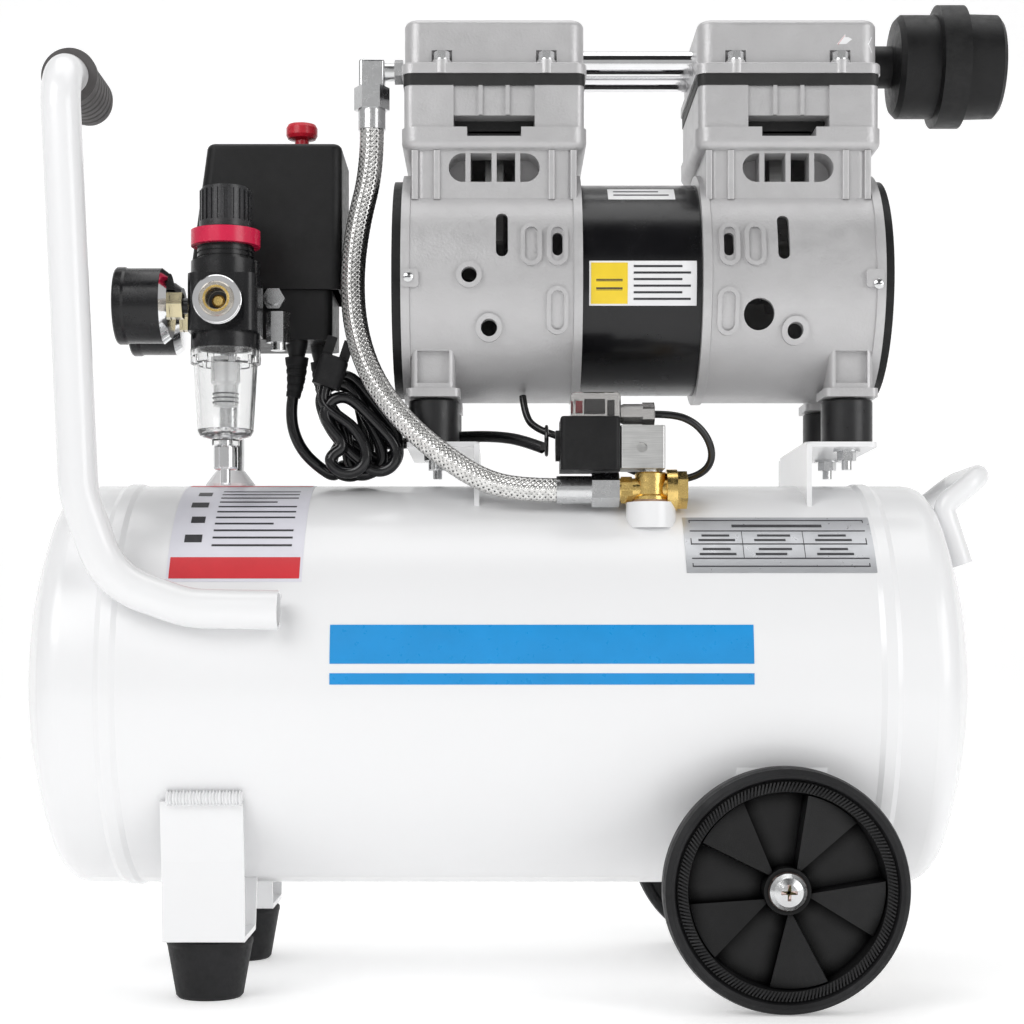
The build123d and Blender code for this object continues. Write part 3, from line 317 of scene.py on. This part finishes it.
def lathe(profile, origin, direction, count=48):
    """Verts and faces of a closed solid of revolution; profile is (radius, place along direction)."""
    direction = Vector(direction).normalized()
    across, up = frame_of(direction)
    verts, faces = [], []
    for index in range(count):
        turn = 2 * math.pi * index / count
        out = across * math.cos(turn) + up * math.sin(turn)
        verts += [Vector(origin) + direction * place + out * radius for radius, place in profile]
    size = len(profile)
    for index in range(count):
        here, there = index * size, (index + 1) % count * size
        for step in range(size):
            after = (step + 1) % size
            faces.append((here + step, there + step, there + after, here + after))
    return verts, faces


def join(*parts):
    """One list of verts and faces from several."""
    verts, faces = [], []
    for some_verts, some_faces in parts:
        base = len(verts)
        verts += some_verts
        faces += [tuple(base + index for index in face) for face in some_faces]
    return verts, faces


def box(centre, size, turn=None):
    """Verts and faces of a box."""
    turn = turn or Matrix.Identity(3)
    half = Vector(size) / 2
    verts = [Vector(centre) + turn @ Vector((sx * half.x, sy * half.y, sz * half.z))
             for sx in (-1, 1) for sy in (-1, 1) for sz in (-1, 1)]
    faces = [(0, 1, 3, 2), (4, 6, 7, 5), (0, 4, 5, 1), (2, 3, 7, 6), (0, 2, 6, 4), (1, 5, 7, 3)]
    return verts, faces


def carried(points):
    """Directions along a line of points, with side vectors that don't twist."""
    ahead = [(b - a).normalized() for a, b in zip(points, points[1:])]
    ahead = [ahead[0]] + [(a + b).normalized() for a, b in zip(ahead, ahead[1:])] + [ahead[-1]]
    side, _ = frame_of(ahead[0])
    sides = []
    for direction in ahead:
        side = (side - direction * side.dot(direction)).normalized()
        sides.append(side.copy())
    return [(d, s, d.cross(s)) for d, s in zip(ahead, sides)]


def swept(points, radius, count=12, radii=None):
    """Closed round tube that follows points, with one radius or one for each point."""
    verts, faces = [], []
    for index, (point, (_, side, up)) in enumerate(zip(points, carried(points))):
        size = radii[index] if radii else radius
        for step in range(count):
            turn = 2 * math.pi * step / count
            verts.append(point + (side * math.cos(turn) + up * math.sin(turn)) * size)
    for index in range(len(points) - 1):
        here, there = index * count, (index + 1) * count
        for step in range(count):
            after = (step + 1) % count
            faces.append((here + step, here + after, there + after, there + step))
    last = (len(points) - 1) * count
    faces.append(tuple(reversed(range(count))))
    faces.append(tuple(last + step for step in range(count)))
    return verts, faces


# ---------------------------------------------------------------- cords

HOSE_ROUTE = [(-0.076, -0.030, 0.514), (-0.076, -0.030, 0.490), (-0.084, -0.034, 0.457),
              (-0.0875, -0.039, 0.424), (-0.085, -0.046, 0.392), (-0.0755, -0.0545, 0.363),
              (-0.058, -0.062, 0.338), (-0.0365, -0.067, 0.318), (-0.011, -0.0695, 0.3005),
              (0.012, -0.070, 0.2944), (0.034, -0.070, 0.2944)]
POWER_ROUTE = [(-0.122, -0.022, 0.378), (-0.122, -0.022, 0.364), (-0.1255, -0.022, 0.3495),
               (-0.1245, -0.0225, 0.334), (-0.118, -0.023, 0.3205), (-0.107, -0.0225, 0.3105)]
MOTOR_ROUTE = [(-0.109, 0.000, 0.378), (-0.109, 0.000, 0.368), (-0.1067, 0.0015, 0.3548),
               (-0.1002, 0.0035, 0.3431), (-0.0902, 0.0055, 0.3341), (-0.0779, 0.0075, 0.3292),
               (-0.0645, 0.009, 0.3285), (-0.0485, 0.0085, 0.3305), (-0.031, 0.003, 0.332),
               (-0.014, -0.0075, 0.332), (0.001, -0.019, 0.3305), (0.0145, -0.029, 0.3275),
               (0.027, -0.037, 0.322)]
SOLENOID_ROUTE = [(0.091, -0.070, 0.3385), (0.103, -0.070, 0.3385), (0.1145, -0.069, 0.334),
                  (0.1225, -0.067, 0.3255), (0.126, -0.064, 0.315), (0.1225, -0.059, 0.3065),
                  (0.112, -0.053, 0.302), (0.097, -0.0485, 0.302), (0.081, -0.046, 0.307),
                  (0.065, -0.0445, 0.315), (0.050, -0.042, 0.323), (0.036, -0.038, 0.329),
                  (0.0245, -0.0315, 0.3335), (0.0165, -0.025, 0.341), (0.015, -0.021, 0.355)]
CORD_R = 0.0035
LEAD_R = 0.0022
HOSE_R = 0.007
CARRIERS = 12
BRAID_PITCH = 0.038
BRAID_WIDTH = 0.00185
BRAID_THICK = 0.00042
BRAID_LIFT = 0.00028
BRAID_R = HOSE_R - 0.0004
CORE_R = HOSE_R - 0.0008


def line(name, route, radius=0.0):
    """Smooth curve with the route's points as its control points."""
    curve = bpy.data.curves.new(name, "CURVE")
    curve.dimensions = "3D"
    spline = curve.splines.new("NURBS")
    spline.points.add(len(route) - 1)
    for point, place in zip(spline.points, route):
        point.co = (*at(*place), 1.0)
    spline.order_u = 3
    spline.use_endpoint_u = True
    spline.resolution_u = 10
    curve.bevel_depth = radius
    curve.bevel_resolution = 5
    curve.use_fill_caps = True
    made = bpy.data.objects.new(name, curve)
    bpy.context.scene.collection.objects.link(made)
    return made


def followed(route):
    """Points along the smooth line of a route."""
    guide = line("guide", route)
    mesh = bpy.data.meshes.new_from_object(guide)
    points = [vertex.co.copy() for vertex in mesh.vertices]
    bpy.data.objects.remove(guide)
    bpy.data.meshes.remove(mesh)
    return points


def spaced(points, gap):
    """Points at even spacing along a line, and its length."""
    lengths = [0.0]
    for a, b in zip(points, points[1:]):
        lengths.append(lengths[-1] + (b - a).length)
    total = lengths[-1]
    count = max(2, round(total / gap))
    made, index = [], 0
    for step in range(count + 1):
        goal = total * step / count
        while index < len(points) - 2 and lengths[index + 1] < goal:
            index += 1
        span = lengths[index + 1] - lengths[index]
        share = (goal - lengths[index]) / span if span else 0.0
        made.append(points[index].lerp(points[index + 1], share))
    return made, total


def strand(points, frames, total, turn, hand, over):
    """One flat bundle of wires woven round the hose."""
    verts, faces = [], []
    count = len(points)
    slope = 2 * math.pi * BRAID_R / BRAID_PITCH
    for index in range(count):
        along = total * index / (count - 1)
        angle = turn + hand * 2 * math.pi * along / BRAID_PITCH
        wave = math.sin(2 * math.pi * along * CARRIERS / BRAID_PITCH / 2 + over)
        size = BRAID_R + BRAID_LIFT * max(-1.0, min(1.0, wave * 1.6))
        ahead, side, up = frames[index]
        out = side * math.cos(angle) + up * math.sin(angle)
        round_it = up * math.cos(angle) - side * math.sin(angle)
        run = (ahead + round_it * hand * slope).normalized()
        wide = run.cross(out).normalized()
        centre = points[index] + out * size
        for across, height in ((-1, 0.25), (-0.45, 1), (0.45, 1), (1, 0.25), (0, -0.8)):
            verts.append(centre + wide * across * BRAID_WIDTH / 2 + out * height * BRAID_THICK)
    for index in range(count - 1):
        here, there = index * 5, (index + 1) * 5
        for step in range(5):
            after = (step + 1) % 5
            faces.append((here + step, here + after, there + after, there + step))
    faces.append(tuple(reversed(range(5))))
    faces.append(tuple((count - 1) * 5 + step for step in range(5)))
    return verts, faces


def braided_hose():
    points, total = spaced(followed(HOSE_ROUTE), 0.0009)
    frames = carried(points)
    path = points[::4] + [points[-1]]
    core = swept(path, CORE_R, 20)
    parts = [core]
    for hand in (1, -1):
        for index in range(CARRIERS):
            over = 0.0 if (index % 2 == 0) == (hand > 0) else math.pi
            parts.append(strand(points, frames, total, 2 * math.pi * index / CARRIERS, hand, over))
    hose = piece("discharge_hose_braid", *join(*parts), BRAID, "braid_steel", sharp=60.0)
    hose.data.materials.append(BRAID_CORE)
    for index in range(len(core[1])):
        hose.data.polygons[index].material_index = 1
    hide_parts("discharge_hose")


# each turn of the hank: its place front to back, its lower fold and its upper fold (x, z, radius)
TURNS = [(-0.0090, (-0.0835, 0.3195, 0.0125), (-0.0950, 0.3570, 0.0110)),
         (-0.0148, (-0.0715, 0.3215, 0.0115), (-0.0945, 0.3555, 0.0112)),
         (-0.0205, (-0.0900, 0.3180, 0.0125), (-0.0965, 0.3570, 0.0105)),
         (-0.0262, (-0.0705, 0.3260, 0.0110), (-0.0935, 0.3560, 0.0110)),
         (-0.0318, (-0.0800, 0.3175, 0.0115), (-0.0960, 0.3500, 0.0110)),
         (-0.0374, (-0.0710, 0.3185, 0.0112), (-0.0930, 0.3420, 0.0108)),
         (-0.0428, (-0.0895, 0.3180, 0.0122), None)]
PLUG_TAIL = [(-0.0850, -0.0430, 0.3330), (-0.0945, -0.0425, 0.3400), (-0.1020, -0.0410, 0.3455),
             (-0.1052, -0.0398, 0.3515), (-0.1030, -0.0396, 0.3584)]


def hank_route():
    """The cord's turns: gathered at the neck, fanned out below, then up into the plug."""
    route = [(-0.0985, -0.0185, 0.3058)]
    for y, lower, upper in TURNS:
        low = Vector((lower[0], lower[1]))
        high = Vector((upper[0], upper[1])) if upper else Vector((-0.094, 0.345))
        ahead = (high - low).normalized()
        left = Vector((-ahead.y, ahead.x))
        for step in range(5):
            turn = math.pi * step / 4
            place = low + (left * math.cos(turn) - ahead * math.sin(turn)) * lower[2]
            route.append((place.x, y - 0.0004 * step, place.y))
        if upper is None:
            break
        mid = (low + high) / 2 - left * (lower[2] + upper[2]) / 2
        route.append((mid.x, y - 0.0022, mid.y))
        for step in range(5):
            turn = math.pi * step / 4
            place = high + (ahead * math.sin(turn) - left * math.cos(turn)) * upper[2]
            route.append((place.x, y - 0.0026 - 0.0003 * step, place.y))
        mid = (low + high) / 2 + left * (lower[2] + upper[2]) / 2
        route.append((mid.x, y - 0.0046, mid.y))
    return route + PLUG_TAIL


def relief(name, route, reach, wide, narrow, ribs):
    """Tapered strain relief with ribs, on a cord's first run."""
    gap = 0.0005
    points, _ = spaced(followed(route), gap)
    count = round(reach / gap)
    radii = []
    for index in range(count + 1):
        share = index / count
        base = wide + (narrow - wide) * share
        groove = 0.0004 if 0.12 < share < 0.9 and math.sin(2 * math.pi * ribs * share) > 0.25 else 0.0
        radii.append(base - groove * (1 - 0.5 * share))
    verts, faces = swept(points[:count + 1], 0, 28, radii)
    piece(name, verts, faces, RUBBER, "cable_black", sharp=30.0)


def cable(name, route, radius, nodes):
    """Smooth round cable that stands for its CAD nodes."""
    made = line(name, route, radius)
    made.data.materials.append(CABLE)
    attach(made, ROOT)
    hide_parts(*nodes)
    _, total = spaced(followed(route), 0.002)


def cords():
    """Hose, leads and mains cord with their reliefs, and the tie that holds two leads together."""
    braided_hose()
    cable("motor_cable", MOTOR_ROUTE, CORD_R, ["motor_lead"])
    cable("solenoid_cable", SOLENOID_ROUTE, LEAD_R, ["solenoid_lead"])
    cable("mains_cord", POWER_ROUTE + hank_route(), CORD_R, ["power_cord", "cord_hank"])
    relief("mains_relief", POWER_ROUTE, 0.024, 0.0072, 0.0043, 5)
    relief("motor_relief", MOTOR_ROUTE, 0.022, 0.0068, 0.0042, 5)
    middle = at(0.029, -0.0385, 0.3262)
    ring = []
    for step in range(24):
        turn = 2 * math.pi * step / 24
        ring.append(middle + Vector((0, math.cos(turn) * 0.0075, math.sin(turn) * 0.0085)))
    piece("lead_tie", *swept(ring + ring[:1], 0.0011, 8), CABLE, "cable_black")


# ---------------------------------------------------------------- labels, dials and small parts

def bent(x, turns, radius, middle_z, thick=0.00018, steps=20):
    """Verts and faces of a thin sheet bent round a drum along X; turns are degrees above its front."""
    verts, faces = [], []
    columns = 8
    for layer in (radius + 0.00004, radius + thick):
        for row in range(steps + 1):
            turn = math.radians(turns[0] + (turns[1] - turns[0]) * row / steps)
            for column in range(columns + 1):
                across = x[0] + (x[1] - x[0]) * column / columns
                verts.append(at(across, -layer * math.cos(turn), middle_z + layer * math.sin(turn)))
    wide = columns + 1
    back = wide * (steps + 1)
    for row in range(steps):
        for column in range(columns):
            corner = row * wide + column
            faces.append((back + corner, back + corner + 1, back + corner + wide + 1, back + corner + wide))
            faces.append((corner, corner + wide, corner + wide + 1, corner + 1))
    rim = list(range(wide))
    rim += [row * wide + columns for row in range(1, steps + 1)]
    rim += [steps * wide + column for column in range(columns - 1, -1, -1)]
    rim += [row * wide for row in range(steps - 1, 0, -1)]
    for here, there in zip(rim, rim[1:] + rim[:1]):
        faces.append((here, there, there + back, here + back))
    return verts, faces


def patch(name, finish, x, turns, radius, middle_z, thick=0.00018):
    """One sticker, or one printed field on it."""
    piece(name, *bent(x, turns, radius, middle_z, thick), finish, "dial_white")


def lines_on(name, bars, radius, middle_z):
    """Several plain bars printed on one sticker."""
    parts = [bent(x, turns, radius + PRINT_LIFT, middle_z, steps=2) for x, turns in bars]
    piece(name, *join(*parts), INK_AND_SHADE, "dial_white")


def labels():
    """Generic stickers: plain fields and bars, no lettering."""
    printed = TANK_R + PRINT_LIFT
    patch("tank_label", LABEL_LILAC, (-0.188, -0.111), (29.5, 86), TANK_R, TANK_Z)
    patch("tank_label_band", LABEL_RED, (-0.1865, -0.1125), (30.5, 37.5), printed, TANK_Z)
    patch("tank_label_top", LABEL_RED, (-0.1865, -0.1125), (80.0, 84.0), printed, TANK_Z)
    bars = []
    for row in range(4):
        bars.append(((-0.180 + 0.002 * (row % 2), -0.170), (43.0 + row * 8.2, 46.0 + row * 8.2)))
    lines_on("tank_label_marks", bars, TANK_R, TANK_Z)
    bars = []
    for row in range(11):
        low = 41.5 + row * 3.0
        bars.append(((-0.164, -0.118 - 0.012 * (row % 4 == 3)), (low, low + 0.7)))
    lines_on("tank_label_lines", bars, TANK_R, TANK_Z)
    plate_thick = 0.0004
    patch("data_plate", LABEL_SILVER, (0.107, 0.215), (32.3, 53.7), TANK_R, TANK_Z, plate_thick)
    bars = [((0.1105, 0.2115), (turn, turn + 0.35)) for turn in (34.2, 36.9, 42.1, 47.3, 52.0)]
    bars += [((x, x + 0.0006), (34.2, 52.3)) for x in (0.1105, 0.2109)]
    bars += [((x, x + 0.0004), (36.9, 47.3)) for x in (0.1400, 0.1750)]
    bars += [((0.1350, 0.1870), (49.1, 50.2))]
    for column, x in enumerate((0.1150, 0.1470, 0.1820)):
        for row, turn in enumerate((38.2, 40.0, 43.4, 45.2)):
            ends = (x + 0.002 * (row % 2), x + 0.021 - 0.003 * ((row + column) % 2))
            bars.append((ends, (turn, turn + 0.75)))
    lines_on("data_plate_lines", bars, TANK_R + PRINT_LIFT, TANK_Z)
    patch("side_stripe_thick", LABEL_BLUE, (-0.094, 0.143), (6.5, 17.0), TANK_R, TANK_Z)
    patch("side_stripe_thin", LABEL_BLUE, (-0.094, 0.143), (1.0, 4.0), TANK_R, TANK_Z)
    patch("motor_label", LABEL_WHITE, (0.0535, 0.1165), (-17.0, 6.4), MOTOR_R, PUMP_Z)
    patch("motor_label_field", LABEL_YELLOW, (0.0545, 0.0760), (-16.0, 5.4), MOTOR_R + PRINT_LIFT, PUMP_Z)
    bars = []
    for row in range(6):
        bars.append(((0.0795, 0.1130 - 0.005 * (row % 2)), (-14.0 + row * 3.4, -12.9 + row * 3.4)))
    bars += [((0.0575, 0.0730), (-9.0, -7.5)), ((0.0575, 0.0730), (-4.5, -3.0))]
    lines_on("motor_label_lines", bars, MOTOR_R, PUMP_Z)
    patch("motor_top_label", LABEL_WHITE, (0.0657, 0.1057), (48.0, 61.5), MOTOR_R, PUMP_Z)
    bars = [((0.069, 0.102), (52.0, 53.2)), ((0.069, 0.096), (56.5, 57.7))]
    lines_on("motor_top_lines", bars, MOTOR_R, PUMP_Z)


def dials():
    """Dial with its printed marks and clear lens for both pressure gauges, which face left."""
    for name, y in GAUGES:
        middle = at(GAUGE_DIAL, y, GAUGE_Z)
        dial = lathe([(0.0, 0.0), (0.0193, 0.0), (0.0193, 0.0005), (0.0, 0.0005)], middle, (-1, 0, 0), 48)
        piece("dial_" + name, *dial, LABEL_WHITE, "dial_white")
        marks = []
        for index in range(41):
            turn = math.radians(225 - 270 * index / 40)
            long = index % 5 == 0
            inner = 0.0135 if long else 0.0152
            wide = 0.0007 if long else 0.00035
            out = Vector((0, math.cos(turn), math.sin(turn)))
            spin = Matrix.Rotation(turn, 3, "X")
            marks.append(box(middle + out * (inner + 0.0172) / 2 + Vector((-0.0006, 0, 0)),
                             (0.0002, 0.0172 - inner, wide), spin))
        ring = []
        for index in range(60):
            turn = math.radians(225 - 270 * index / 59)
            out = Vector((0, math.cos(turn), math.sin(turn)))
            ring.append(middle + out * 0.0118 + Vector((-0.0006, 0, 0)))
        marks.append(swept(ring, 0.00018, 4))
        piece("dial_marks_" + name, *join(*marks), INK_AND_SHADE, "dial_white")
        lens = lathe([(0.0, 0.0), (0.0200, 0.0), (0.0200, 0.0009), (0.0150, 0.0016), (0.0, 0.0022)],
                     at(GAUGE_LENS, y, GAUGE_Z), (-1, 0, 0), 48)
        piece("gauge_lens_" + name, *lens, CLEAR, "clear_plastic")


def wheel_teeth(name, side, body):
    """Fine slanted teeth moulded in a band near each wheel's rim, on its outer face."""
    face = side * (WHEEL_Y + WHEEL_HALF - 0.0024)
    parts = []
    count = 180
    for index in range(count):
        turn = 2 * math.pi * index / count
        spin = Matrix.Rotation(-turn, 3, "Y") @ Matrix.Rotation(math.radians(24), 3, "Y")
        out = Vector((math.cos(turn), 0, math.sin(turn)))
        centre = at(WHEEL_X, face, WHEEL_Z) + out * 0.0578
        parts.append(box(centre, (0.0058, 0.0016, 0.00095), spin))
    piece(name, *join(*parts), TYRE, "black_plastic", body)


def bead(name, centre_line, radius):
    """Weld bead with its ripples along a line of points."""
    points, _ = spaced(centre_line, 0.0004)
    radii = [radius * (1.0 + 0.16 * math.sin(index * 1.35) + 0.05 * math.sin(index * 0.61))
             for index in range(len(points))]
    piece(name, *swept(points, radius, 10, radii), WHITE, "white_paint")


def on_tank(x, turn):
    """Point on the tank's shell, at a turn in degrees above its front."""
    turn = math.radians(turn)
    return at(x, -TANK_R * math.cos(turn), TANK_Z + TANK_R * math.sin(turn))


def welds():
    """Beads where the push handle and the foot strap meet the tank."""
    for name, offset in (("upper", 1), ("lower", -1)):
        points = [on_tank(-0.168 + 0.046 * step / 30, 21.1 + offset * 3.9) for step in range(31)]
        bead("handle_weld_" + name, points, 0.0016)
    for name, side in (("front", -1), ("rear", 1)):
        points = [at(-0.187 + 0.043 * step / 30, side * 0.1085, 0.1180) for step in range(31)]
        bead("strap_weld_" + name, points, 0.0040)


def touch(node, start, direction):
    """Where a straight line first meets a node, and the surface's direction there."""
    target = NODES[node]
    inverse = target.matrix_world.inverted()
    heading = (inverse.to_3x3() @ Vector(direction)).normalized()
    hit, place, normal, _ = target.ray_cast(inverse @ start, heading)
    if not hit:
        raise ValueError("nothing there on " + node)
    return target.matrix_world @ place, (target.matrix_world.to_3x3() @ normal).normalized()


def axle_caps():
    """Domed bolt heads on the wheels, each with its cross recess drawn as a raised dark cross: painted shade.
    """
    for name, side in (("front", -1), ("rear", 1)):
        head, _ = touch("zinc_fasteners", at(WHEEL_X, side * 0.2, WHEEL_Z), (0, -side, 0))
        profile = [(0.0, 0.0), (0.0106, 0.0), (0.0108, 0.0008), (0.0096, 0.0028), (0.0062, 0.0042),
                   (0.0, 0.0047)]
        dome = lathe(profile, head - Vector((0, side * 0.0042, 0)), (0, side, 0), 40)
        piece("axle_cap_" + name, *dome, BOLT_PINK, "zinc_steel")
        # painted shade: the cross recess is a dark cross laid over the dome
        arms = []
        for turn in (20, 110):
            spin = Matrix.Rotation(math.radians(turn), 3, "Y")
            arms.append(box(head + Vector((0, side * 0.0002, 0)), (0.0078, 0.0007, 0.0019), spin))
        piece("axle_recess_shade_" + name, *join(*arms), RECESS_SHADE, "zinc_steel")


def case_screws():
    """Slotted screws that hold the end covers to the crankcases; each slot is a dark bar laid on the head:
    painted shade.
    """
    profile = [(0.0, -0.001), (0.0030, -0.001), (0.0030, 0.0008), (0.0018, 0.0016), (0.0, 0.0018)]
    places = (("crankcase_left", -0.0525, 0.4185), ("crankcase_right", 0.2220, 0.4145))
    for index, (node, x, z) in enumerate(places):
        place, _ = touch(node, at(x, IN_FRONT, z), (0, 1, 0))
        piece("case_screw_%d" % index, *lathe(profile, place, (0, -1, 0), 24), ZINC, "zinc_steel")
        # painted shade: the slot is a black bar on top of the head
        slot = box(place + Vector((0, -0.00175, 0)), (0.0034, 0.0003, 0.0006))
        piece("case_screw_slot_%d" % index, *slot, INK_AND_SHADE, "zinc_steel")


def window_shade_panels():
    """Painted shade: dark panels behind the T-shaped windows of the cylinder blocks, standing in for the
    shade inside them.
    """
    for index, x in enumerate((-0.0023, 0.1719)):
        wide = box(at(x, -0.0372, 0.5145), (0.047, 0.0008, 0.0085))
        narrow = box(at(x, -0.0372, 0.5085), (0.031, 0.0008, 0.0060))
        piece("window_shade_panel_%d" % index, *join(wide, narrow), GASKET_AND_SHADE, "gasket_black")


def bowl_insert():
    """Frosted filter insert with dark rings, seen through the clear bowl."""
    profile = [(0.0, 0.0), (0.0085, 0.0), (0.0085, -0.014), (0.0070, -0.016), (0.0070, -0.028), (0.0, -0.028)]
    insert = lathe(profile, at(REGULATOR_X, BOWL_Y, 0.3705), (0, 0, 1), 32)
    piece("filter_insert", *insert, FROSTED, "clear_plastic")
    rings = []
    for z in (0.3500, 0.3475, 0.3450):
        profile = [(0.0072, z), (0.0076, z), (0.0076, z - 0.0008), (0.0072, z - 0.0008)]
        rings.append(lathe(profile, at(REGULATOR_X, BOWL_Y, 0.0), (0, 0, 1), 32))
    piece("insert_rings", *join(*rings), INK_AND_SHADE, "black_plastic")


def valve_seal():
    """Sealant squeezed out under the check valve."""
    profile = [(0.0090, 0.0), (0.0106, 0.0), (0.0110, 0.0009), (0.0104, 0.0019), (0.0090, 0.0022)]
    piece("thread_sealant", *lathe(profile, at(0.089, -0.070, 0.2866), (0, 0, 1), 40), SEALANT, "brass")


def outlet_socket():
    """Dark floor, brass poppet and brass lip inside the outlet coupler."""
    socket = at(REGULATOR_X, IN_FRONT, COUPLER_Z)

    def turned(name, profile, y, count, finish, slot):
        piece(name, *lathe(profile, (socket.x, y, socket.z), (0, -1, 0), count), finish, slot)

    floor_of, _ = touch("outlet_coupler", socket, (0, 1, 0))
    lip, _ = touch("outlet_coupler", socket + Vector((0, 0, 0.0072)), (0, 1, 0))
    turned("socket_floor", [(0.0, 0.0), (0.0058, 0.0), (0.0058, 0.0006), (0.0, 0.0006)],
           floor_of.y - 0.0001, 32, INK_AND_SHADE, "black_plastic")
    turned("socket_poppet", [(0.0, 0.0), (0.0036, 0.0), (0.0036, 0.0020), (0.0026, 0.0030), (0.0, 0.0030)],
           floor_of.y - 0.0006, 32, BRASS, "brass")
    turned("socket_ring", [(0.0061, 0.0), (0.0076, 0.0), (0.0074, 0.0006), (0.0063, 0.0006)],
           lip.y + 0.0001, 40, BRASS, "brass")


def gauge_backs():
    """Brass hexagon stem and chromed back plate of each pressure gauge."""
    for name, y in GAUGES:
        back = at(GAUGE_BACK, y, GAUGE_Z)
        stem = [(0.0047, -0.0002), (0.0083, -0.0002), (0.0083, 0.0074), (0.0047, 0.0074)]
        piece("gauge_stem_" + name, *lathe(stem, back, (1, 0, 0), 6), PALE_BRASS, "brass")
        plate = [(0.0080, 0.0003), (0.0186, 0.0003), (0.0220, -0.0037), (0.0217, -0.0037), (0.0180, 0.0001),
                 (0.0080, 0.0001)]
        piece("gauge_back_" + name, *lathe(plate, back, (1, 0, 0), 56), CHROME, "chrome_tube")


def connector_inside():
    """Terminal block and red lamp inside the clear connector."""
    block = box(at(0.056, -0.071, 0.3425), (0.012, 0.012, 0.008))
    terminals = box(at(0.0655, -0.071, 0.3415), (0.004, 0.010, 0.009))
    piece("connector_block", *join(block, terminals), INK_AND_SHADE, "black_plastic")
    piece("connector_lamp", *box(at(0.047, -0.072, 0.3420), (0.004, 0.006, 0.007)), RED, "red_plastic")


def arrow_sticker():
    """Unmarked sticker on the right head cover: a white body and a red tip."""
    body = [(0.201, 0.5605), (0.206, 0.5665), (0.206, 0.5645), (0.222, 0.5650), (0.220, 0.5605),
            (0.222, 0.5560), (0.206, 0.5565), (0.206, 0.5545)]
    tip = [(0.2016, 0.5605), (0.2056, 0.5655), (0.2056, 0.5555)]
    for name, outline, finish, lift in (("arrow_body", body, LABEL_WHITE, 0.0),
                                        ("arrow_tip", tip, LABEL_RED, 0.00012)):
        verts = []
        for height in (0.00005 + lift, 0.00025 + lift):
            for x, z in outline:
                place, normal = touch("head_covers", at(x, IN_FRONT, z), (0, 1, 0))
                verts.append(place + normal * height)
        count = len(outline)
        faces = [tuple(range(count - 1, -1, -1)), tuple(range(count, 2 * count))]
        faces += [(i, (i + 1) % count, (i + 1) % count + count, i + count) for i in range(count)]
        piece(name, verts, faces, finish, "dial_white")


def small_parts():
    """Details too fine for the CAD."""
    axle_caps()
    case_screws()
    window_shade_panels()
    bowl_insert()
    valve_seal()
    outlet_socket()
    gauge_backs()
    connector_inside()
    arrow_sticker()


# ---------------------------------------------------------------- camera, light and floor

EYE_DISTANCE = 1.250
EYE_HEIGHT = 0.207
FRAME_PX = 1024
FOCAL_PX = 2025
SHIFT_PX = (14, 128)
SENSOR = 36.0


def camera():
    """Level camera in front of the tank, shifted to frame the object."""
    data = bpy.data.cameras.new("camera")
    data.sensor_width = SENSOR
    data.lens = SENSOR * FOCAL_PX / FRAME_PX
    data.shift_x = SHIFT_PX[0] / FRAME_PX
    data.shift_y = SHIFT_PX[1] / FRAME_PX
    data.clip_end = 20.0
    eye = bpy.data.objects.new("camera", data)
    eye.location = at(0, -EYE_DISTANCE, EYE_HEIGHT)
    eye.rotation_euler = (math.pi / 2, 0, 0)
    bpy.context.scene.collection.objects.link(eye)
    bpy.context.scene.camera = eye


def soft_light(name, place, size, power):
    """Soft box that faces the middle of the object."""
    data = bpy.data.lights.new(name, "AREA")
    data.shape = "RECTANGLE"
    data.size, data.size_y = size
    data.energy = power
    light = bpy.data.objects.new(name, data)
    light.location = place
    light.rotation_euler = (Vector((0, 0, 0.3)) - Vector(place)).to_track_quat("-Z", "Y").to_euler()
    bpy.context.scene.collection.objects.link(light)


def studio():
    """Pale floor that curves up behind, a dark card, three soft boxes and a bright surround."""
    back, bend, rise, half = 2.2, 0.8, 1.6, 4.0
    profile = [(-3.0, 0.0), (back - bend, 0.0)]
    for step in range(1, 10):
        turn = math.pi / 2 * step / 10
        profile.append((back - bend + bend * math.sin(turn), bend - bend * math.cos(turn)))
    profile += [(back, bend), (back, bend + rise)]
    verts = [(x, y, z) for y, z in profile for x in (-half, half)]
    faces = [(2 * i, 2 * i + 1, 2 * i + 3, 2 * i + 2) for i in range(len(profile) - 1)]
    paper = surface("studio_paper", (0.90, 0.90, 0.90), 0.7, vary=0.01, patch=2.0, rough_vary=0.05,
                    grain=0.05, grain_scale=300.0)
    floor = piece("floor", verts, faces, paper, None, body=None)
    glow = paper.node_tree.nodes["Principled BSDF"]
    glow.inputs["Emission Color"].default_value = (1, 1, 1, 1)
    glow.inputs["Emission Strength"].default_value = 0.30
    card = surface("dark_card", (0.01, 0.01, 0.01), 0.8, vary=0.02, patch=2.0, rough_vary=0.05, grain=0.05,
                   grain_scale=300.0)
    arc = [math.radians(24 + 7 * step) for step in range(7)]
    corners = [(x, -2.7 * math.cos(turn), 0.5 + 2.7 * math.sin(turn)) for turn in arc for x in (-2.4, 2.4)]
    faces = [(2 * row, 2 * row + 1, 2 * row + 3, 2 * row + 2) for row in range(6)]
    piece("flag", corners, faces, card, None, body=None)
    soft_light("key", (-1.1, -1.5, 1.5), (1.2, 1.2), 18)
    soft_light("fill", (1.5, -1.3, 0.9), (1.0, 1.4), 11)
    soft_light("top", (0.0, 0.1, 1.9), (1.6, 1.2), 9)
    world = bpy.data.worlds.new("surround")
    world.use_nodes = True
    world.node_tree.nodes["Background"].inputs["Color"].default_value = (1, 1, 1, 1)
    world.node_tree.nodes["Background"].inputs["Strength"].default_value = 0.5
    bpy.context.scene.world = world
    bpy.context.scene.view_settings.view_transform = "Standard"


camera()
cords()
labels()
dials()
wheel_teeth("wheel_teeth_front", -1, "wheel_front")
wheel_teeth("wheel_teeth_rear", 1, "wheel_rear")
welds()
small_parts()
studio()
finish_nodes()
